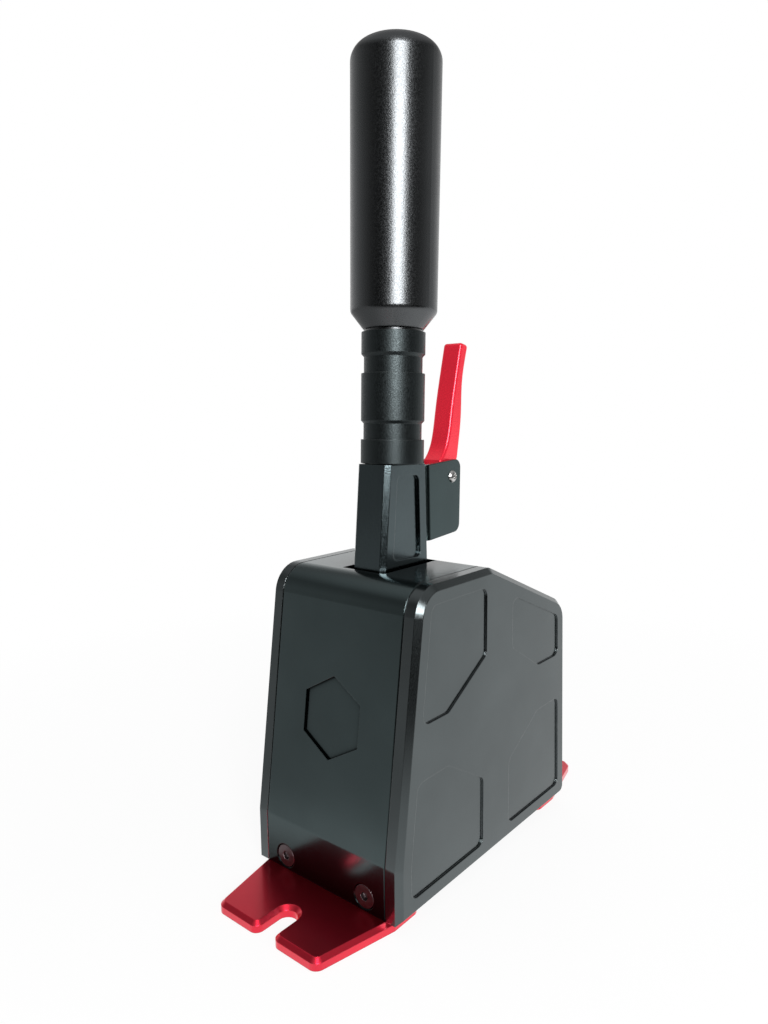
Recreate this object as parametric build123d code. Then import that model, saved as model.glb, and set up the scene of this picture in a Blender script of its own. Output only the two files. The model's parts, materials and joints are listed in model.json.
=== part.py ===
from build123d import *
import os
from math import cos, pi, radians, sin, sqrt, tan

# A sequential gear shifter for racing simulators.
# Frame: millimetres, +Z up, front towards -Y, right side plate towards +X.
# The origin is on the floor, under the middle of the housing.
# Lever pieces are drawn about the lever pivot, upright, and then leaned back into place.

os.makedirs("parts", exist_ok=True)

# Housing
BODY_WIDTH = 80.0
BODY_DEPTH = 134.0
BODY_HEIGHT = 127.4
PLATE_THICKNESS = 7.0
PLATE_CHAMFER = 2.3
FRONT_UPRIGHT = 22.0
FRONT_LEAN_DEG = 7.8
RIDGE_FROM_FRONT = 63.8
REAR_SLOPE_DEG = 22.9
REAR_LEAN_DEG = 2.3
KINK_RADIUS = 8.0
FRONT_CORNER_RADIUS = 12.5
RIDGE_RADIUS = 6.0
REAR_CORNER_RADIUS = 12.0
REAR_FOOT_RADIUS = 5.0

# Side plate pockets
POCKET_MARGIN = 7.4
POCKET_DEPTH = 0.8
POCKET_RADIUS = 3.6
POCKET_RADIUS_SHARE = 0.4
UPRIGHT_RIB_WIDTH = 21.0
UPPER_RIB_SHIFT = 1.9
LEVEL_RIB_WIDTH = 21.9
HUB_TO_TOP = 31.0
HUB_TO_FRONT = 12.6
HUB_Y = 1.0
HUB_RISE = 0.1

# Covers
COVER_THICKNESS = 3.0
COVER_EDGE_CHAMFER = 0.4
SEAM_GAP = 0.2
COVER_SPLIT_INSET = 13.5
SLOT_AHEAD = 17.2
SLOT_BEHIND = 20.0
SLOT_WIDTH = 22.6
HEX_RADIUS = 17.1
HEX_DEPTH = 1.0
HEX_HEIGHT = 70.4

# Feet
FOOT_THICKNESS = 4.5
FOOT_REACH = 32.0
FOOT_SHOULDER = 3.1
FOOT_UNDER = 19.2
FOOT_FRONT_WIDTH = 54.4
FOOT_BODY_WIDTH = 70.4
FOOT_CORNER_RADIUS = 4.0
FOOT_CHAMFER = 1.6
FOOT_SLOT_WIDTH = 8.5
FOOT_SLOT_DEPTH = 16.0
FOOT_MOUTH_RADIUS = 3.5

# Base plate
BASE_THICKNESS = 3.0
BASE_LAP = 8.0
BASE_GAP = 0.3
BASE_SCREW_INSET = 3.5

# Cross members between the side plates
BAR_DEPTH = 23.2
BAR_HEIGHT = 12.0
LUG_THICKNESS = 6.0
LUG_DEPTH = 17.0
LUG_GAP = 1.5
LUG_SCREW_EDGE = 4.0
LUG_SCREW_PITCH = 7.8
LUG_SCREW_DROP = 6.5
BLOCK_DEPTH = 8.0
BLOCK_HEIGHT_SHARE = 0.403
BLOCK_DROP_SHARE = 0.4905
BLOCK_LUG_DEPTH = 20.0
BLOCK_PITCH_SHARE = 0.647
UPPER_BAR_DEPTH = 27.0
UPPER_BAR_DROP = 51.4
UPPER_SCREW_RISE = 8.0
UPPER_SLOPE_SCREW_INSET = 20.0

# Screws, by thread
M25_RADIUS = 1.25
M3_RADIUS = 1.5
M4_RADIUS = 2.0
M5_RADIUS = 2.5
THREAD_CLEARANCE = 0.05
M5_CONE_RADIUS = 5.2
M5_CONE_HEIGHT = 2.8
M4_CONE_RADIUS = 4.0
M4_CONE_HEIGHT = 2.3
M3_CONE_RADIUS = 3.0
M3_CONE_HEIGHT = 1.7
CONE_RIM = 0.3
HEAD_SUNK = 0.3
HEAD_SHARE = 0.9
HEX_SOCKET_SHARE = 0.78
SOCKET_DEPTH_SHARE = 0.75
BUTTON_HEAD_SHARE = 1.9
BUTTON_HEIGHT_SHARE = 1.1
COVER_SCREW_X = 22.0
COVER_SCREW_HEIGHT = 5.7
COVER_SCREW_LENGTH = 12.0
FOOT_SCREW_X = 12.0
FOOT_SCREW_INSET = 8.5
FOOT_SCREW_LENGTH = 13.0
LUG_SCREW_LENGTH = 10.0
UPPER_SCREW_X = 22.0
UPPER_SCREW_LENGTH = 9.0
BASE_SCREW_X = 24.0
BASE_SCREW_LENGTH = 8.0
BRACKET_SCREW_LENGTH = 4.5

# Lever pivot
LEVER_LEAN_DEG = 1.757
LEVER_SWING_DEG = 2.6
PIVOT_BEHIND_FACE = 35.541
PIVOT_BELOW_TOP = 40.0
SHAFT_RADIUS = 4.0
SHAFT_SEAT_DEPTH = 3.5
RUNNING_CLEARANCE = 0.03
BEARING_RADIUS = 8.0
BEARING_WIDTH = 5.0
BEARING_SHOULDER_RADIUS = 6.5
BEARING_RACE = 1.4
SPACER_RADIUS = 6.0
SIDE_CLEARANCE = 0.3

# Lever arm, measured from the pivot
ARM_THICKNESS = 17.6
ARM_TOP = 83.0
ARM_TOP_WIDTH = 26.8
ARM_TAPER_DEG = 3.5
ARM_HUB_RADIUS = 17.8
ARM_HUB_HEIGHT = 16.0
ARM_TAIL_WIDTH = 16.0
ARM_CHAMFER = 2.0
ARM_POCKET_MARGIN = 6.5
ARM_POCKET_DROP = 4.6
ARM_POCKET_BOTTOM = 43.2
ARM_POCKET_DEPTH = 1.3
ARM_POCKET_RADIUS = 2.4

# Lever stem and grip, heights from the top of the arm
STEM_RADIUS = 13.39
STEM_GROOVE = 1.1
STEM_LENGTH = 54.2
STEM_LOWER_RING = 9.9
STEM_LOWER_GROOVE = 7.9
STEM_MIDDLE_RING = 19.5
STEM_UPPER_GROOVE = 8.0
STEM_RING_CHAMFER = 1.2
STEM_FOOT_GAP = 0.3
STEM_FOOT_RADIUS = 11.5
GRIP_RADIUS = 18.65
GRIP_FOOT_RADIUS = 18.1
GRIP_END_RADIUS = 12.6
GRIP_LENGTH = 111.4
GRIP_TAPER_LENGTH = 7.0
GRIP_TAPER_RADIUS = 3.0
GRIP_TOP_RADIUS = 6.5
GRIP_NECK = 1.1
GRIP_NECK_RADIUS = 11.8
STUD_RADIUS = 4.0
STUD_IN_ARM = 13.0
STUD_IN_GRIP = 20.0

# Trigger bracket, a folded sheet behind the arm
BRACKET_SHEET = 2.0
BRACKET_WIDTH = 16.0
BRACKET_BEND_RADIUS = 2.4
BRACKET_TOP_DROP = 0.65
BRACKET_REAR_RISE = 2.25
BRACKET_REAR = 39.7
BRACKET_FRONT_SHARE = 0.795
BRACKET_REAR_SHARE = 0.735
BRACKET_CORNER_RADIUS = 4.0
BRACKET_SCREW_SHARE = 0.721
BRACKET_SCREW_PITCH = 5.5

# Trigger
TRIGGER_Y = 33.4
TRIGGER_DROP_SHARE = 0.151
TRIGGER_HEIGHT = 60.8
TRIGGER_WIDTH = 10.0
TRIGGER_RIM_RADIUS = 1.3
TRIGGER_TIP_RADIUS = 1.6
TRIGGER_BOSS_RADIUS = 5.6
TRIGGER_BORE_CLEARANCE = 0.04
FINGER_WIDTH = 4.6
FINGER_HEIGHT = 5.0
# Front and rear edges of the blade, as shares of the trigger height, from the pivot up
TRIGGER_FRONT_SHARES = [
    (-0.084, 0.122), (-0.002, 0.243), (0.032, 0.377), (0.058, 0.535), (0.094, 0.713), (0.158, 1.0),
]
TRIGGER_REAR_SHARES = [
    (0.255, 0.985), (0.215, 0.834), (0.193, 0.716), (0.187, 0.569), (0.184, 0.436), (0.167, 0.289),
    (0.143, 0.139),
]

# Push rod in the arm
ROD_Y = 8.3
ROD_RADIUS = 2.5
ROD_CLEARANCE = 0.05
ROD_HEAD_RADIUS = 3.5
ROD_HEAD_HEIGHT = 2.5
ROD_BOTTOM = 33.0
ROD_FLOOR_SHARE = 0.535
ROD_BORE_RADIUS = 3.9
FINGER_GAP = 0.1
WINDOW_FRONT = 4.8
WINDOW_WIDTH = 7.8
WINDOW_BOTTOM_SHARE = 0.395
WINDOW_TOP_SHARE = 0.07
SENSOR_POCKET_BOTTOM = 18.0
SENSOR_POCKET_TOP = 36.0
SENSOR_POCKET_WIDTH = 11.0
SENSOR_POCKET_FRONT = 3.4
TRIGGER_BOARD_THICKNESS = 1.6
ROD_MAGNET_LENGTH = 3.0

# Springs
CENTRING_WIRE = 2.0
CENTRING_COIL_RADIUS = 5.5
CENTRING_TURNS = 3
CENTRING_SHARE = 0.403
RETURN_WIRE = 0.8
RETURN_COIL_RADIUS = 3.2
RETURN_TURNS = 4
SPRING_END_GAP = 0.35
SEAT_THICKNESS = 2.0
SEAT_RADIUS = 7.5
SEAT_BOSS_RADIUS = 3.9
SEAT_BOSS_LENGTH = 3.0

# Preload screws and bump stops
PRELOAD_RADIUS = 5.0
PRELOAD_HEX_RADIUS = 3.0
PRELOAD_HEX_DEPTH = 5.0
PRELOAD_PROUD = 1.0
CENTRING_LENGTH = 13.0
STOP_SHARE = 0.592
STOP_RADIUS = 5.0
STOP_STEM_RADIUS = 2.5
STOP_MARGIN = 0.1
STOP_ROUND = 1.0

# Electronics
BOARD_AHEAD = 11.5
BOARD_WIDTH = 36.0
BOARD_THICKNESS = 1.6
BOARD_RISE = 11.0
BOARD_REAR_INSET = 7.0
STANDOFF_RADIUS = 3.0
STANDOFF_INSET = 5.0
STANDOFF_BAR_GAP = 6.0
STANDOFF_STUD = 2.6
BOARD_SCREW_LENGTH = 7.0
CHIP_SIZE = 7.0
CHIP_HEIGHT = 1.5
SENSOR_SIZE = 4.0
SENSOR_HEIGHT = 3.2
MAGNET_RADIUS = 3.0
MAGNET_LENGTH = 3.0
MAGNET_GAP = 2.6
MAGNET_HOLDER_HEIGHT = 6.0
MAGNET_WALL = 2.0
SOCKET_WIDTH = 12.0
SOCKET_HEIGHT = 10.8
SOCKET_DEPTH = 16.0
SOCKET_WALL = 1.0
SOCKET_BEVEL = 1.6
SOCKET_POCKET = 9.0
SOCKET_TONGUE_WIDTH = 5.6
SOCKET_TONGUE_HEIGHT = 3.2
SOCKET_FRAME_GAP = 0.4

# Overrun of every cut past the face it opens
OVERRUN = 2.0

# Places worked out from the sizes above
HALF_WIDTH = BODY_WIDTH / 2
INNER_X = HALF_WIDTH - PLATE_THICKNESS
FRONT_Y = -BODY_DEPTH / 2
REAR_Y = BODY_DEPTH / 2
BODY_BOTTOM = FOOT_THICKNESS
BODY_TOP = BODY_BOTTOM + BODY_HEIGHT
KINK_Z = BODY_BOTTOM + FRONT_UPRIGHT
RIDGE_Y = FRONT_Y + RIDGE_FROM_FRONT
BASE_TOP = BODY_BOTTOM + BASE_THICKNESS
PIVOT_Z = BODY_TOP - PIVOT_BELOW_TOP
PIVOT_Y = FRONT_Y + (PIVOT_Z - KINK_Z) * tan(radians(FRONT_LEAN_DEG)) + PIVOT_BEHIND_FACE
PIVOT_ROOM = PIVOT_Z - BASE_TOP
CENTRING_DROP = PIVOT_ROOM * CENTRING_SHARE
STOP_DROP = PIVOT_ROOM * STOP_SHARE
BLOCK_MIDDLE_Z = PIVOT_Z - PIVOT_ROOM * BLOCK_DROP_SHARE
BLOCK_HEIGHT = PIVOT_ROOM * BLOCK_HEIGHT_SHARE
LUG_HEIGHT = BLOCK_MIDDLE_Z - BLOCK_HEIGHT / 2 - LUG_GAP - BODY_BOTTOM
UPPER_BAR_FRONT = REAR_Y - UPPER_BAR_DEPTH
UPPER_BAR_BOTTOM = BODY_TOP - UPPER_BAR_DROP
BAR_INNER_Y = REAR_Y - COVER_THICKNESS - BAR_DEPTH
BOARD_HEIGHT = BASE_TOP + BOARD_RISE
BOARD_FRONT_Y = PIVOT_Y - BOARD_AHEAD
BOARD_REAR_Y = REAR_Y - BOARD_REAR_INSET
MAGNET_FACE_Z = BOARD_HEIGHT + BOARD_THICKNESS + SENSOR_HEIGHT + MAGNET_GAP
ARM_TAIL_LENGTH = PIVOT_Z - MAGNET_FACE_Z - MAGNET_HOLDER_HEIGHT
ARM_RISE = ARM_TOP - PIVOT_BELOW_TOP
TRIGGER_Z = ARM_TOP - ARM_RISE * TRIGGER_DROP_SHARE
BRACKET_TOP = ARM_TOP - BRACKET_TOP_DROP
BRACKET_REAR_TOP = BRACKET_TOP + BRACKET_REAR_RISE
BRACKET_FRONT_BOTTOM = ARM_TOP - ARM_RISE * BRACKET_FRONT_SHARE
BRACKET_REAR_BOTTOM = ARM_TOP - ARM_RISE * BRACKET_REAR_SHARE
BRACKET_SCREW_LOW = ARM_TOP - ARM_RISE * BRACKET_SCREW_SHARE
ROD_SPRING_FLOOR = ARM_TOP - ARM_RISE * ROD_FLOOR_SHARE
WINDOW_BOTTOM = ARM_TOP - ARM_RISE * WINDOW_BOTTOM_SHARE
WINDOW_TOP = ARM_TOP - ARM_RISE * WINDOW_TOP_SHARE
LEVER_AT = Pos(0, PIVOT_Y, PIVOT_Z) * Rot(-LEVER_LEAN_DEG, 0, 0)
STEM_BOTTOM = ARM_TOP + STEM_FOOT_GAP
STEM_TOP = STEM_BOTTOM + STEM_LENGTH
GRIP_BOTTOM = STEM_TOP + GRIP_NECK
HEX_Z = BODY_BOTTOM + HEX_HEIGHT

made = {}


def save(name, shape):
    """Writes one node and keeps it for the printed checks."""
    export_step(shape, f"parts/{name}.step")
    made[name] = shape


def profile(corners, radii):
    """A closed flat outline with a radius at each corner."""
    return make_face(FilletPolyline(*corners, radius=radii, close=True))


def across(sketch, half):
    """A side-view outline (y, z) made solid from -half to +half in X."""
    return extrude(Plane.YZ * sketch, amount=half, both=True)


def cylinder_x(radius, start, end, y=0.0, z=0.0):
    """A round bar along X."""
    return extrude(Plane.YZ.offset(start) * Pos(y, z) * Circle(radius), amount=end - start)


def cylinder_y(radius, start, end, x=0.0, z=0.0):
    """A round bar along Y."""
    bar = Cylinder(radius, end - start, align=(Align.CENTER, Align.CENTER, Align.MIN))
    return Pos(x, start, z) * Rot(-90, 0, 0) * bar


def cylinder_z(radius, start, end, x=0.0, y=0.0):
    """A round bar along Z."""
    bar = Cylinder(radius, end - start, align=(Align.CENTER, Align.CENTER, Align.MIN))
    return Pos(x, y, start) * bar


def block(x_size, y_range, z_range):
    """A box centred in X."""
    size_y = y_range[1] - y_range[0]
    size_z = z_range[1] - z_range[0]
    low = (Align.CENTER, Align.MIN, Align.MIN)
    return Pos(0, y_range[0], z_range[0]) * Box(x_size, size_y, size_z, align=low)


def arm_half_width(height):
    """Half the depth of the lever arm at a height above the pivot."""
    return ARM_TOP_WIDTH / 2 + (ARM_TOP - height) * tan(radians(ARM_TAPER_DEG))


def body_corners():
    """Corners of the wedge-shaped side view of the housing."""
    front_run = (BODY_HEIGHT - FRONT_UPRIGHT) * tan(radians(FRONT_LEAN_DEG))
    slope = tan(radians(REAR_SLOPE_DEG))
    lean = tan(radians(REAR_LEAN_DEG))
    past_ridge = REAR_Y - RIDGE_Y - BODY_HEIGHT * lean
    rear_run = past_ridge / (1 - slope * lean)
    return [
        (FRONT_Y, BODY_BOTTOM),
        (FRONT_Y, KINK_Z),
        (FRONT_Y + front_run, BODY_TOP),
        (RIDGE_Y, BODY_TOP),
        (RIDGE_Y + rear_run, BODY_TOP - rear_run * slope),
        (REAR_Y, BODY_BOTTOM),
    ]


BODY_RADII = [0, KINK_RADIUS, FRONT_CORNER_RADIUS, RIDGE_RADIUS, REAR_CORNER_RADIUS, REAR_FOOT_RADIUS]
OUTLINE = profile(body_corners(), BODY_RADII)
INSIDE = offset(OUTLINE, -COVER_THICKNESS)


def slope_height(y):
    """Height of the rear slope above the floor at a place behind the ridge."""
    return BODY_TOP - (y - RIDGE_Y) * tan(radians(REAR_SLOPE_DEG))


def countersunk(radius, cone_radius, cone_height, length):
    """A countersunk hex-socket screw, its head just below the face at z = 0, shank down."""
    head_radius = cone_radius * HEAD_SHARE
    below = HEAD_SUNK + CONE_RIM
    rim = cylinder_z(head_radius, -below, -HEAD_SUNK)
    cone = Pos(0, 0, -below) * Cone(
        radius, head_radius, cone_height - below, align=(Align.CENTER, Align.CENTER, Align.MAX)
    )
    screw = rim + cone + cylinder_z(radius, -length, -below)
    socket = RegularPolygon(radius * HEX_SOCKET_SHARE, 6)
    return screw - extrude(socket, amount=-cone_height * SOCKET_DEPTH_SHARE)


def countersink(radius, cone_radius, cone_height, length):
    """What a countersunk screw needs cut out for it."""
    wide = cone_radius + THREAD_CLEARANCE
    mouth = cylinder_z(wide, -CONE_RIM, OVERRUN)
    cone = Pos(0, 0, -CONE_RIM) * Cone(
        radius + THREAD_CLEARANCE, wide, cone_height - CONE_RIM, align=(Align.CENTER, Align.CENTER, Align.MAX)
    )
    return mouth + cone + cylinder_z(radius + THREAD_CLEARANCE, -length - THREAD_CLEARANCE, -CONE_RIM)


def button_screw(radius, length):
    """A domed hex-socket screw, head seat at z = 0, shank down."""
    head_radius = radius * BUTTON_HEAD_SHARE
    head_height = radius * BUTTON_HEIGHT_SHARE
    dome = (head_radius**2 + head_height**2) / (2 * head_height)
    head = Pos(0, 0, head_height - dome) * Sphere(dome)
    head = head & cylinder_z(head_radius, 0, head_height)
    socket = RegularPolygon(radius * HEX_SOCKET_SHARE, 6)
    head -= extrude(Pos(0, 0, head_height) * socket, amount=-head_height * SOCKET_DEPTH_SHARE)
    return head + cylinder_z(radius, -length, 0)


def cap_screw(radius, length):
    """A plain hex-socket screw with a low flat head, head seat at z = 0, shank down."""
    head_height = radius * BUTTON_HEIGHT_SHARE
    head = cylinder_z(radius * BUTTON_HEAD_SHARE, 0, head_height)
    socket = RegularPolygon(radius * HEX_SOCKET_SHARE, 6)
    head -= extrude(Pos(0, 0, head_height) * socket, amount=-head_height * SOCKET_DEPTH_SHARE)
    return head + cylinder_z(radius, -length, 0)


def joined(pieces):
    """Several separate solids in one node."""
    return Compound([solid for piece in pieces for solid in piece.solids()])


# Side plates
def pocket_region():
    """The four pockets: the outline drawn in, less a diamond hub and its four ribs."""
    sharp = make_face(Polyline(*body_corners(), close=True))
    region = offset(sharp, -POCKET_MARGIN, kind=Kind.INTERSECTION)
    hub = Pos(HUB_Y, BODY_BOTTOM + BODY_HEIGHT / 2 + HUB_RISE)
    reach = BODY_DEPTH + BODY_HEIGHT
    tall = BODY_HEIGHT / 2 - HUB_TO_TOP
    wide = BODY_DEPTH / 2 - HUB_TO_FRONT
    region -= hub * make_face(Polyline((0, tall), (wide, 0), (0, -tall), (-wide, 0), close=True))
    region -= hub * Rectangle(reach, LEVEL_RIB_WIDTH)
    region -= hub * Rectangle(UPRIGHT_RIB_WIDTH, reach, align=(Align.CENTER, Align.MAX))
    upper = hub * Pos(UPPER_RIB_SHIFT, 0)
    region -= upper * Rectangle(UPRIGHT_RIB_WIDTH, reach, align=(Align.CENTER, Align.MIN))
    return region


def lug_screw_places():
    """Where the lower bars are screwed to the plates, as (y, z)."""
    places = []
    for side in (-1, 1):
        inner = REAR_Y - COVER_THICKNESS - LUG_DEPTH + LUG_SCREW_EDGE
        for y in (inner, inner + LUG_SCREW_PITCH):
            places.append((side * y, BODY_BOTTOM + LUG_HEIGHT - LUG_SCREW_DROP))
    return places


def block_screw_places():
    """Where the spring blocks are screwed to the plates, as (y, z)."""
    places = []
    for side in (-1, 1):
        y = block_front_y(side) + (BLOCK_DEPTH + BLOCK_LUG_DEPTH) / 2
        for step in (-1, 1):
            places.append((y, BLOCK_MIDDLE_Z + step * BLOCK_HEIGHT * BLOCK_PITCH_SHARE / 2))
    return places


def upper_screw_place():
    """Where the upper rear bar is screwed to the plates, as (y, z)."""
    return (UPPER_BAR_FRONT - LUG_DEPTH / 2, UPPER_BAR_BOTTOM + UPPER_SCREW_RISE)


def tail_face_y(drop, side):
    """Place in Y of the tail's front (-1) or rear (+1) face at a drop below the pivot."""
    lean = radians(LEVER_LEAN_DEG)
    return PIVOT_Y - drop * sin(lean) + side * ARM_TAIL_WIDTH / 2 * cos(lean)


def spring_end_y(side):
    """Outer end of a centring spring, where its preload screw holds it."""
    seat = SEAT_THICKNESS + SPRING_END_GAP
    return tail_face_y(CENTRING_DROP, side) + side * (seat + CENTRING_LENGTH + SPRING_END_GAP)


def block_front_y(side):
    """Front face of the spring block ahead of the lever (-1) or behind it (+1)."""
    near = spring_end_y(side) + side * SEAT_THICKNESS
    return near - BLOCK_DEPTH if side < 0 else near


def side_plate():
    """The right side plate, its pockets on the outer face and its seats on the inner one."""
    plate = extrude(Plane.YZ.offset(INNER_X) * OUTLINE, amount=PLATE_THICKNESS)
    outer = plate.faces().sort_by(Axis.X)[-1]
    plate = chamfer(outer.edges(), PLATE_CHAMFER)
    floor_x = HALF_WIDTH - POCKET_DEPTH
    for face in pocket_region().faces():
        shortest = min(edge.length for edge in face.edges())
        radius = min(POCKET_RADIUS, shortest * POCKET_RADIUS_SHARE)
        rounded = face.fillet_2d(radius, face.vertices())
        plate -= extrude(Plane.YZ.offset(floor_x) * rounded, amount=POCKET_DEPTH + OVERRUN)
    seat_end = INNER_X + SHAFT_SEAT_DEPTH
    plate -= cylinder_x(SHAFT_RADIUS + THREAD_CLEARANCE, INNER_X - OVERRUN, seat_end, PIVOT_Y, PIVOT_Z)
    depth = INNER_X + LUG_SCREW_LENGTH - LUG_THICKNESS + THREAD_CLEARANCE
    for y, z in lug_screw_places() + [upper_screw_place()] + block_screw_places():
        plate -= cylinder_x(M4_RADIUS + THREAD_CLEARANCE, INNER_X - OVERRUN, depth, y, z)
    return plate


# Covers
def split_cut():
    """The region behind the joint between the two covers, square to the rear slope."""
    size = BODY_DEPTH + BODY_HEIGHT
    split_y = REAR_Y - COVER_SPLIT_INSET
    place = Pos(split_y, slope_height(split_y)) * Rot(0, 0, -REAR_SLOPE_DEG)
    return place * Rectangle(size, size, align=(Align.MIN, Align.CENTER))


def cover_band():
    """The bent sheet's section all round, open underneath."""
    open_width = BODY_DEPTH - 2 * COVER_THICKNESS
    open_bottom = Pos(0, BODY_BOTTOM) * Rectangle(open_width, 2 * (COVER_THICKNESS + SEAM_GAP))
    return OUTLINE - INSIDE - open_bottom


def cover_screw(y_side):
    """A place on the front or rear face at the height of the lower cover screws."""
    z = BODY_BOTTOM + COVER_SCREW_HEIGHT
    lean = radians(REAR_LEAN_DEG) if y_side > 0 else 0.0
    y = y_side * REAR_Y - (z - BODY_BOTTOM) * tan(lean)
    normal = (0, y_side * cos(lean), sin(lean))
    return [Plane((x, y, z), x_dir=(1, 0, 0), z_dir=normal) for x in (-COVER_SCREW_X, COVER_SCREW_X)]


def slope_screw():
    """Places of the two screws at the rear end of the top cover."""
    lean = radians(REAR_SLOPE_DEG)
    normal = (0, sin(lean), cos(lean))
    y = REAR_Y - UPPER_SLOPE_SCREW_INSET
    z = slope_height(y)
    return [Plane((x, y, z), x_dir=(1, 0, 0), z_dir=normal) for x in (-UPPER_SCREW_X, UPPER_SCREW_X)]


def rear_upper_screw():
    """Places of the two screws at the top of the rear cover."""
    lean = radians(REAR_LEAN_DEG)
    z = UPPER_BAR_BOTTOM + UPPER_SCREW_RISE
    y = REAR_Y - (z - BODY_BOTTOM) * tan(lean)
    normal = (0, cos(lean), sin(lean))
    return [Plane((x, y, z), x_dir=(1, 0, 0), z_dir=normal) for x in (-UPPER_SCREW_X, UPPER_SCREW_X)]


def hexagon_recess():
    """The bare hexagonal recess in the leaning front."""
    lean = radians(FRONT_LEAN_DEG)
    y = FRONT_Y + (HEX_Z - KINK_Z) * tan(lean)
    plane = Plane((0, y, HEX_Z), x_dir=(1, 0, 0), z_dir=(0, -cos(lean), sin(lean)))
    return extrude(plane * RegularPolygon(HEX_RADIUS, 6, rotation=30), amount=-HEX_DEPTH)


def sheet(section):
    """A cover of a given section, with its outer rims broken."""
    half = INNER_X - SEAM_GAP
    cover = across(section, half)
    rims = [
        edge
        for edge in cover.edges()
        if abs(abs(edge.center().X) - half) < SEAM_GAP and outside_rim(edge)
    ]
    return chamfer(rims, COVER_EDGE_CHAMFER)


def outside_rim(edge):
    """True for an edge that runs along the outer skin of a cover."""
    middle = edge @ 0.5
    flat = Vertex(middle.Y, middle.Z, 0)
    return min(line.distance_to(flat) for line in OUTLINE.edges()) < SEAM_GAP


def top_cover():
    """Front and top in one bent sheet, with the lever slot and the hexagonal recess."""
    section = cover_band() - split_cut()
    cover = sheet(section)
    slot_z = (BODY_TOP - COVER_THICKNESS - OVERRUN, BODY_TOP + OVERRUN)
    cover -= block(SLOT_WIDTH, (PIVOT_Y - SLOT_AHEAD, PIVOT_Y + SLOT_BEHIND), slot_z)
    cover -= hexagon_recess()
    for place in cover_screw(-1):
        cover -= place * countersink(M5_RADIUS, M5_CONE_RADIUS, M5_CONE_HEIGHT, COVER_SCREW_LENGTH)
    for place in slope_screw():
        cover -= place * countersink(M4_RADIUS, M4_CONE_RADIUS, M4_CONE_HEIGHT, UPPER_SCREW_LENGTH)
    return cover


def socket_z():
    """Middle height of the cable socket."""
    return BOARD_HEIGHT + BOARD_THICKNESS + SOCKET_HEIGHT / 2


def rear_cover():
    """The rear sheet, with the opening round the cable socket."""
    joint = Pos(SEAM_GAP * cos(radians(REAR_SLOPE_DEG)), -SEAM_GAP * sin(radians(REAR_SLOPE_DEG)))
    section = cover_band() & (joint * split_cut())
    cover = sheet(section)
    wide = SOCKET_WIDTH + 2 * SOCKET_FRAME_GAP
    tall = SOCKET_HEIGHT + 2 * SOCKET_FRAME_GAP
    cover -= block(wide, (0, BODY_DEPTH), (socket_z() - tall / 2, socket_z() + tall / 2))
    for place in cover_screw(1):
        cover -= place * countersink(M5_RADIUS, M5_CONE_RADIUS, M5_CONE_HEIGHT, COVER_SCREW_LENGTH)
    for place in rear_upper_screw():
        cover -= place * countersink(M4_RADIUS, M4_CONE_RADIUS, M4_CONE_HEIGHT, UPPER_SCREW_LENGTH)
    return cover


# Feet
def foot_slot():
    """The open bolt slot of the front foot."""
    tip_y = FRONT_Y - FOOT_REACH
    half = FOOT_SLOT_WIDTH / 2
    centre_y = tip_y + FOOT_SLOT_DEPTH - half
    shape = Pos(0, centre_y) * Circle(half)
    run = centre_y - tip_y + OVERRUN
    shape += Pos(0, centre_y) * Rectangle(FOOT_SLOT_WIDTH, run, align=(Align.CENTER, Align.MAX))
    return shape


def foot_outline():
    """Plan view of the front foot."""
    tip_y = FRONT_Y - FOOT_REACH
    shoulder_y = FRONT_Y + FOOT_SHOULDER
    end_y = FRONT_Y + FOOT_UNDER
    corners = [
        (-FOOT_FRONT_WIDTH / 2, tip_y),
        (FOOT_FRONT_WIDTH / 2, tip_y),
        (FOOT_BODY_WIDTH / 2, shoulder_y),
        (FOOT_BODY_WIDTH / 2, end_y),
        (-FOOT_BODY_WIDTH / 2, end_y),
        (-FOOT_BODY_WIDTH / 2, shoulder_y),
    ]
    corner = FOOT_CORNER_RADIUS
    outline = profile(corners, [corner, corner, 0, corner, corner, 0]) - foot_slot()
    mouth = outline.vertices().filter_by(lambda v: abs(v.X) < FOOT_SLOT_WIDTH and v.Y < tip_y + SEAM_GAP)
    return fillet(mouth, FOOT_MOUTH_RADIUS)


def foot_screw_places():
    """Plan places of the two screws of the front foot."""
    return [(x, FRONT_Y + FOOT_SCREW_INSET) for x in (-FOOT_SCREW_X, FOOT_SCREW_X)]


def foot():
    """The front foot, chamfered round its upper edge."""
    plate = extrude(foot_outline(), amount=FOOT_THICKNESS)
    plate = chamfer(plate.faces().sort_by(Axis.Z)[-1].edges(), FOOT_CHAMFER)
    for x, y in foot_screw_places():
        plate -= Pos(x, y, 0) * Rot(180, 0, 0) * countersink(
            M5_RADIUS, M5_CONE_RADIUS, M5_CONE_HEIGHT, FOOT_SCREW_LENGTH
        )
    return plate


# Base plate
def base_screw_places():
    """Plan places of the screws of the base plate."""
    y = BAR_INNER_Y + BASE_SCREW_INSET
    return [(x, side * y) for x in (-BASE_SCREW_X, BASE_SCREW_X) for side in (-1, 1)]


def base_half_length():
    """Half the length of the base plate, which laps the two lower bars."""
    return BAR_INNER_Y + BASE_LAP - BASE_GAP


def base_plate():
    """The sheet that closes the housing underneath."""
    half = base_half_length()
    plate = block(2 * (INNER_X - SEAM_GAP), (-half, half), (BODY_BOTTOM, BASE_TOP))
    for x, y in base_screw_places():
        plate -= Pos(x, y, BODY_BOTTOM) * Rot(180, 0, 0) * countersink(
            M3_RADIUS, M3_CONE_RADIUS, M3_CONE_HEIGHT, BASE_SCREW_LENGTH
        )
    for x, y in standoff_places():
        plate -= cylinder_z(M3_RADIUS + THREAD_CLEARANCE, BODY_BOTTOM - OVERRUN, BASE_TOP + OVERRUN, x, y)
    return plate


# Cross members between the side plates
def cavity():
    """The space inside the covers, in side view."""
    return OUTLINE - cover_band()


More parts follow.
